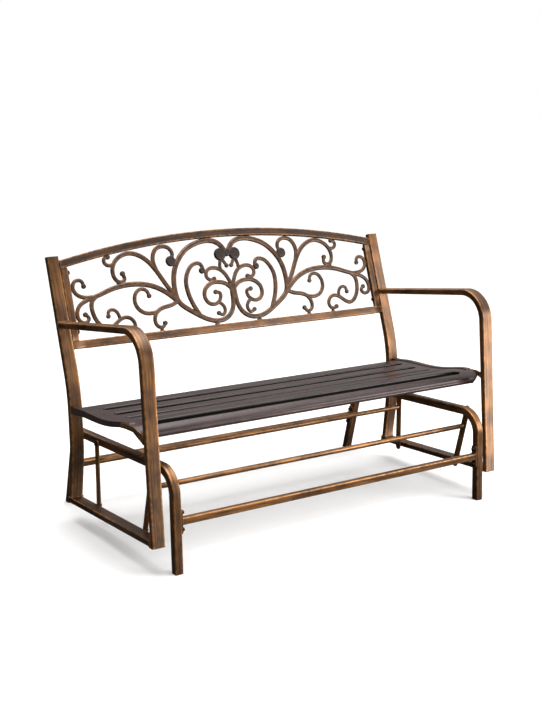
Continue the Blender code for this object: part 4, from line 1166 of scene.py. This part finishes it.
def scroll(entry, sign, shape):
    """One cast scroll: the squared oval carried along a smooth line of the panel, full width up to TAPER_FROM
    of it and drawn down to its tip, which is closed by a round nose or by a knob a third wider."""
    line, root, tip, deep, knob = entry
    flat = spline([(sign * x * PANEL_CLEAR, up * ARCH_RISE) for x, up in line], 8)
    share = np.clip((np.linspace(0, 1, len(flat)) - TAPER_FROM) / (1 - TAPER_FROM), 0, 1)
    width = SCROLL_BAR * (root + (tip - root) * share)
    depth_loss, caps = 0.12, 6
    depth = SCROLL_DEEP * deep * (1 - depth_loss * share)
    nose = np.linspace(0, math.pi / 2, caps + 1)[1:]
    path = on_panel(flat)
    way = tangents(path)
    start = path[0] - way[0] * (width[0] / 2 * np.sin(nose[::-1]))[:, None]
    end = path[-1] + way[-1] * (width[-1] / 2 * np.sin(nose))[:, None]
    close = np.maximum(np.cos(nose), 0.02)
    path = np.vstack([start, path, end])
    width = np.concatenate([width[0] * close[::-1], width, width[-1] * close])
    depth = np.concatenate([depth[0] * close[::-1], depth, depth[-1] * close])
    way = np.vstack([np.repeat(way[:1], caps, 0), way, np.repeat(way[-1:], caps, 0)])
    side = unit(np.cross(way, PANEL_FRONT))
    section, worn = cast_section()
    rings = carried(path, side, PANEL_FRONT, section, np.stack([width, depth], -1))
    surface(rings, worn=worn, shape=shape)
    if knob:
        disc(flat[-1], KNOB * tip * SCROLL_BAR, deep * SCROLL_DEEP, shape, 0.1)


def disc(spot, radius, deep, shape, worn=-0.5):
    """A cast boss: a flat disc with a rounded rim, turned about the panel's normal. Its radius is
    radius - rim + rim * cos a where its depth is deep / 2 - rim + rim * sin a, on both faces. Bosses are
    darkened towards near black by negative wear: a painted dark reflection."""
    rim = min(0.30 * deep, 0.45 * radius)
    a = np.linspace(0, math.pi / 2, 6)
    out = np.concatenate([radius - rim + rim * np.cos(a), [0.5 * (radius - rim), 0.0002]])
    rise = np.concatenate([deep / 2 - rim + rim * np.sin(a), [deep / 2, deep / 2]])
    profile = np.vstack([np.stack([-rise, out], -1)[::-1], np.stack([rise, out], -1)])
    # The default negative wear paints the boss dark: a painted dark reflection
    turned(profile, on_panel(np.array(spot)), PANEL_FRONT, sides=32, shape=shape, worn=worn)


def boss(entry, sign, shape):
    """One boss from its row: place, radius and depth in shares."""
    x, up, radius, deep = entry
    disc((sign * x * PANEL_CLEAR, up * ARCH_RISE), radius * SCROLL_BAR, deep * SCROLL_DEEP, shape)


def weld_foot(share, wide, shape):
    """A weld foot: a short waisted stub from the bottom rail up into a scroll, its width wide * (1 - 0.35
    sin) over its height, with a bead where it meets the rail."""
    rise = np.linspace(0, 1, 9)
    x = np.full(9, share * PANEL_CLEAR)
    path = on_panel(np.stack([x, PANEL_RAIL - GAP + FOOT_RISE * rise], -1))
    waist = 1 - 0.35 * np.sin(math.pi / 2 * rise)
    section, worn = cast_section()
    scale = np.stack([wide * SCROLL_BAR * waist, SCROLL_DEEP * (0.84 + 0.21 * waist)], -1)
    rings = carried(path, ACROSS, PANEL_FRONT, section, scale)
    surface(rings, worn=worn, shape=shape)
    lift, bead_radius = 0.0008, 0.0016
    bead(even(rings[0] + PANEL_UP * lift), PANEL_UP, bead_radius, shape)


class BENCH_OT_scrollwork(bpy.types.Operator):
    """Cast scrolls of the back: a heart-shaped centre and two spreading wings"""

    bl_idname = "bench.scrollwork"
    bl_label = "Scrollwork"

    def execute(self, context):
        look = finishes()
        centre = Shape()
        for sign in (-1, 1):
            for entry in CENTRE:
                scroll(entry, sign, centre)
            for entry in CENTRE_BOSSES:
                boss(entry, sign, centre)
            weld_foot(sign * CENTRE_FOOT[0], CENTRE_FOOT[1], centre)
        boss(MIDDLE_BOSS, 1, centre)
        piece("scroll_centre_casting", "seat", centre, look["cast"], ["scroll_centre"])
        for side, sign in SIDES:
            wing = Shape()
            for entry in WING:
                scroll(entry, sign, wing)
            for entry in WING_BOSSES:
                boss(entry, sign, wing)
            for share, wide in WING_FEET:
                weld_foot(sign * share, wide, wing)
            name = f"scroll_wing_{side}"
            piece(f"{name}_casting", "seat", wing, look["cast"], [name])
        return {"FINISHED"}


def dome(base, wide, high, steps):
    """A dome's profile: base + high * sin a along the axis at a radius of wide * cos a."""
    a = np.linspace(0, math.pi / 2, steps)
    return np.stack([base + high * np.sin(a), np.maximum(wide * np.cos(a), 0.0001)], -1)


def cap_nut(centre, out, radius):
    """A cap nut: a turned washer, a six-sided body and a dome 0.84 r * cos a wide, 0.55 r * sin a high."""
    axis = (out, 0, 0)
    # Each profile: height above the face, radius
    washer = [(0.0, 0.6 * radius), (0.0, 1.16 * radius), (0.0009, 1.16 * radius), (0.0012, 1.08 * radius)]
    shape = turned(washer + [(0.0012, 0.5 * radius)], centre, axis)
    body = [(0.0012, 0.95 * radius), (0.0015, radius), (0.0050, radius), (0.0056, 0.90 * radius)]
    turned([(0.0010, 0.5 * radius)] + body, centre, axis, sides=6, shape=shape)
    crown = dome(0.0052, 0.84 * radius, 0.55 * radius, 8)
    return turned(np.vstack([(0.0046, 0.84 * radius), crown]), centre, axis, shape=shape)


def round_head(centre, out, radius):
    """A domed bolt head on a thin washer: 0.92 r * cos a wide and 0.55 r * sin a high above its rim."""
    washer = [(0.0, 1.12 * radius), (0.0008, 1.12 * radius), (0.0011, 1.04 * radius), (0.0011, 0.94 * radius)]
    return turned(np.vstack([washer, dome(0.0022, 0.92 * radius, 0.55 * radius, 9)]), centre, (out, 0, 0))


class BENCH_OT_fasteners(bpy.types.Operator):
    """Cap nuts of the base, and domed bolts of the swing links, seat brackets and back panel"""

    bl_idname = "bench.fasteners"
    bl_label = "Fasteners"

    def execute(self, context):
        radius, look = context.scene.bench_sizes.head, finishes()
        bar_face = BASE_HALF - BASE_TUBE - GAP - PLATE - GAP
        panel_face = INNER - GAP - PANEL_TUBE - GAP
        link_out = LINK_X + LINK_THICK + GAP
        for side, sign in SIDES:
            spots = [
                (f"bolt_{label}_{side}", "base", sign * bar_face, spot, -sign)
                for label, spot in zip(("front_up", "front_low", "rear_up", "rear_low"), bar_bolts())
            ]
            for label, top, low, _ in LINKS:
                spots.append((f"pivot_{label}_top_{side}", "base", sign * link_out, top, sign))
                spots.append((f"pivot_{label}_low_{side}", "seat", sign * (LINK_X - GAP), low, -sign))
            for label, z in zip(("up", "low"), PANEL_BOLTS):
                name = f"bolt_back_{label}_{side}"
                spots.append((name, "seat", sign * panel_face, (panel_y(z), z), -sign))
            for name, body, x, spot, out in spots:
                make = cap_nut if name.startswith(("bolt_front", "bolt_rear")) else round_head
                shape = make((x, *lean(spot)), out, radius)
                piece(f"{name}_head", body, shape, look["bolt"], [name])
        for side, _ in SIDES:
            node = frame["nodes"][f"bolt_seat_{side}"]
            node.data.materials.clear()
            node.data.materials.append(look["bolt"])
        return {"FINISHED"}


class BENCH_OT_stage(bpy.types.Operator):
    """Pale floor, soft studio light and the camera"""

    bl_idname = "bench.stage"
    bl_label = "Stage"

    def execute(self, context):
        self.floor()
        self.lights()
        self.camera(context.scene)
        context.scene.view_settings.view_transform = "Standard"
        return {"FINISHED"}

    def floor(self):
        """A pale floor that the camera sees and that throws no light back on the bench."""
        size = 60.0
        mesh = bpy.data.meshes.new("floor")
        corners = [(x * size, y * size, 0) for x, y in ((-1, -1), (1, -1), (1, 1), (-1, 1))]
        mesh.from_pydata(corners, [], [(0, 1, 2, 3)])
        floor = put("floor", mesh)
        material, _, shader = new_material("pale_studio_floor", 0.85, 0.0)
        shader.inputs["Base Color"].default_value = (*srgb("#f4f3f2"), 1.0)
        mesh.materials.append(material)
        floor.visible_glossy = False
        floor.visible_diffuse = False

    def lights(self):
        """Soft boxes above and to the right of the camera, in a room that the camera sees white. Its light on
        the bench grows towards one direction, in front of the bench, to its right and overhead."""
        world = bpy.data.worlds.new("studio")
        bpy.context.scene.world = world
        world.use_nodes = True
        tree = world.node_tree
        sky = tree.nodes["Background"]
        place = add_node(tree, "ShaderNodeTexCoord")
        toward = {"operation": "DOT_PRODUCT", 1: (0.60, -0.47, 0.65)}
        facing = add_node(tree, "ShaderNodeVectorMath", toward, {0: place.outputs["Generated"]})
        limits = {"From Min": -0.35, "From Max": 1.0, "To Min": 0.06, "To Max": 0.85}
        room = add_node(tree, "ShaderNodeMapRange", limits, {"Value": facing.outputs["Value"]})
        path = add_node(tree, "ShaderNodeLightPath")
        links = {0: path.outputs["Is Camera Ray"], 2: room.outputs[0]}
        seen = add_node(tree, "ShaderNodeMix", {"data_type": "FLOAT", 3: 1.0}, links)
        sky.inputs["Color"].default_value = (1.0, 1.0, 1.0, 1.0)
        tree.links.new(seen.outputs[0], sky.inputs["Strength"])
        lamps = (
            ("key", (1.95, -2.25, 1.0), 1.2, 45.0),
            ("fill", (-3.2, -2.6, 2.4), 1.6, 5.0),
            ("top", (0.0, 0.3, 3.2), 3.0, 75.0),
            ("rim", (-1.2, 3.2, 2.0), 1.5, 12.0),
        )
        sun = bpy.data.lights.new("overhead", "SUN")
        sun.energy = 2.2
        sun.angle = math.radians(60)
        lamp = put("overhead", sun)
        lamp.rotation_euler = (math.radians(12), math.radians(10), 0.0)
        for name, place, size, watts in lamps:
            data = bpy.data.lights.new(name, "AREA")
            data.size = size
            data.energy = watts
            lamp = put(name, data)
            lamp.location = place
            aim = Vector((0.0, 0.0, 0.45)) - Vector(place)
            lamp.rotation_euler = aim.to_track_quat("-Z", "Y").to_euler()

    def camera(self, scene):
        """The view of the photograph: its place, then the turn to the right of +Y, the tip down and the roll,
        with the focal length from pixels of the image to millimetres of the sensor."""
        focal_px, image_tall_px = 1158.6, 720.0
        yaw, pitch, roll = (math.radians(v) for v in (34.32, 12.7, 0.58))
        data = bpy.data.cameras.new("camera")
        data.sensor_width = 36.0
        data.lens = focal_px / image_tall_px * data.sensor_width
        camera = put("camera", data)
        level = math.cos(pitch)
        ahead = Vector((math.sin(yaw) * level, math.cos(yaw) * level, -math.sin(pitch)))
        right = Vector((math.cos(yaw), -math.sin(yaw), 0.0))
        over = right.cross(ahead)
        side = right * math.cos(roll) + over * math.sin(roll)
        top = over * math.cos(roll) - right * math.sin(roll)
        turn = Matrix((side, top, -ahead)).transposed().to_4x4()
        place = (-2.021, -2.564 - HALF_DEPTH, 1.264)
        camera.matrix_world = Matrix.Translation(place) @ turn
        scene.camera = camera


class BENCH_PT_panel(bpy.types.Panel):
    """Sizes, colours and the pieces of the bench"""

    bl_label = "Patio glider bench"
    bl_idname = "BENCH_PT_panel"
    bl_space_type = "VIEW_3D"
    bl_region_type = "UI"
    bl_category = "Bench"

    def draw(self, context):
        for group in (context.scene.bench_sizes, context.scene.bench_colours):
            for key in group.__annotations__:
                self.layout.prop(group, key)
        for operator in OPERATORS:
            self.layout.operator(operator.bl_idname)


OPERATORS = (
    BENCH_OT_base,
    BENCH_OT_links,
    BENCH_OT_seat_frame,
    BENCH_OT_seat,
    BENCH_OT_back_frame,
    BENCH_OT_scrollwork,
    BENCH_OT_fasteners,
    BENCH_OT_stage,
)
CLASSES = (BenchSizes, BenchColours, *OPERATORS, BENCH_PT_panel)


def register():
    for cls in CLASSES:
        bpy.utils.register_class(cls)
    bpy.types.Scene.bench_sizes = PointerProperty(type=BenchSizes)
    bpy.types.Scene.bench_colours = PointerProperty(type=BenchColours)


def unregister():
    del bpy.types.Scene.bench_colours
    del bpy.types.Scene.bench_sizes
    for cls in reversed(CLASSES):
        bpy.utils.unregister_class(cls)


def main():
    register()
    bpy.ops.bench.base()
    bpy.ops.bench.links()
    bpy.ops.bench.seat_frame()
    bpy.ops.bench.seat()
    bpy.ops.bench.back_frame()
    bpy.ops.bench.scrollwork()
    bpy.ops.bench.fasteners()
    bpy.ops.bench.stage()
    bpy.context.view_layer.update()


if __name__ == "__main__":
    main()
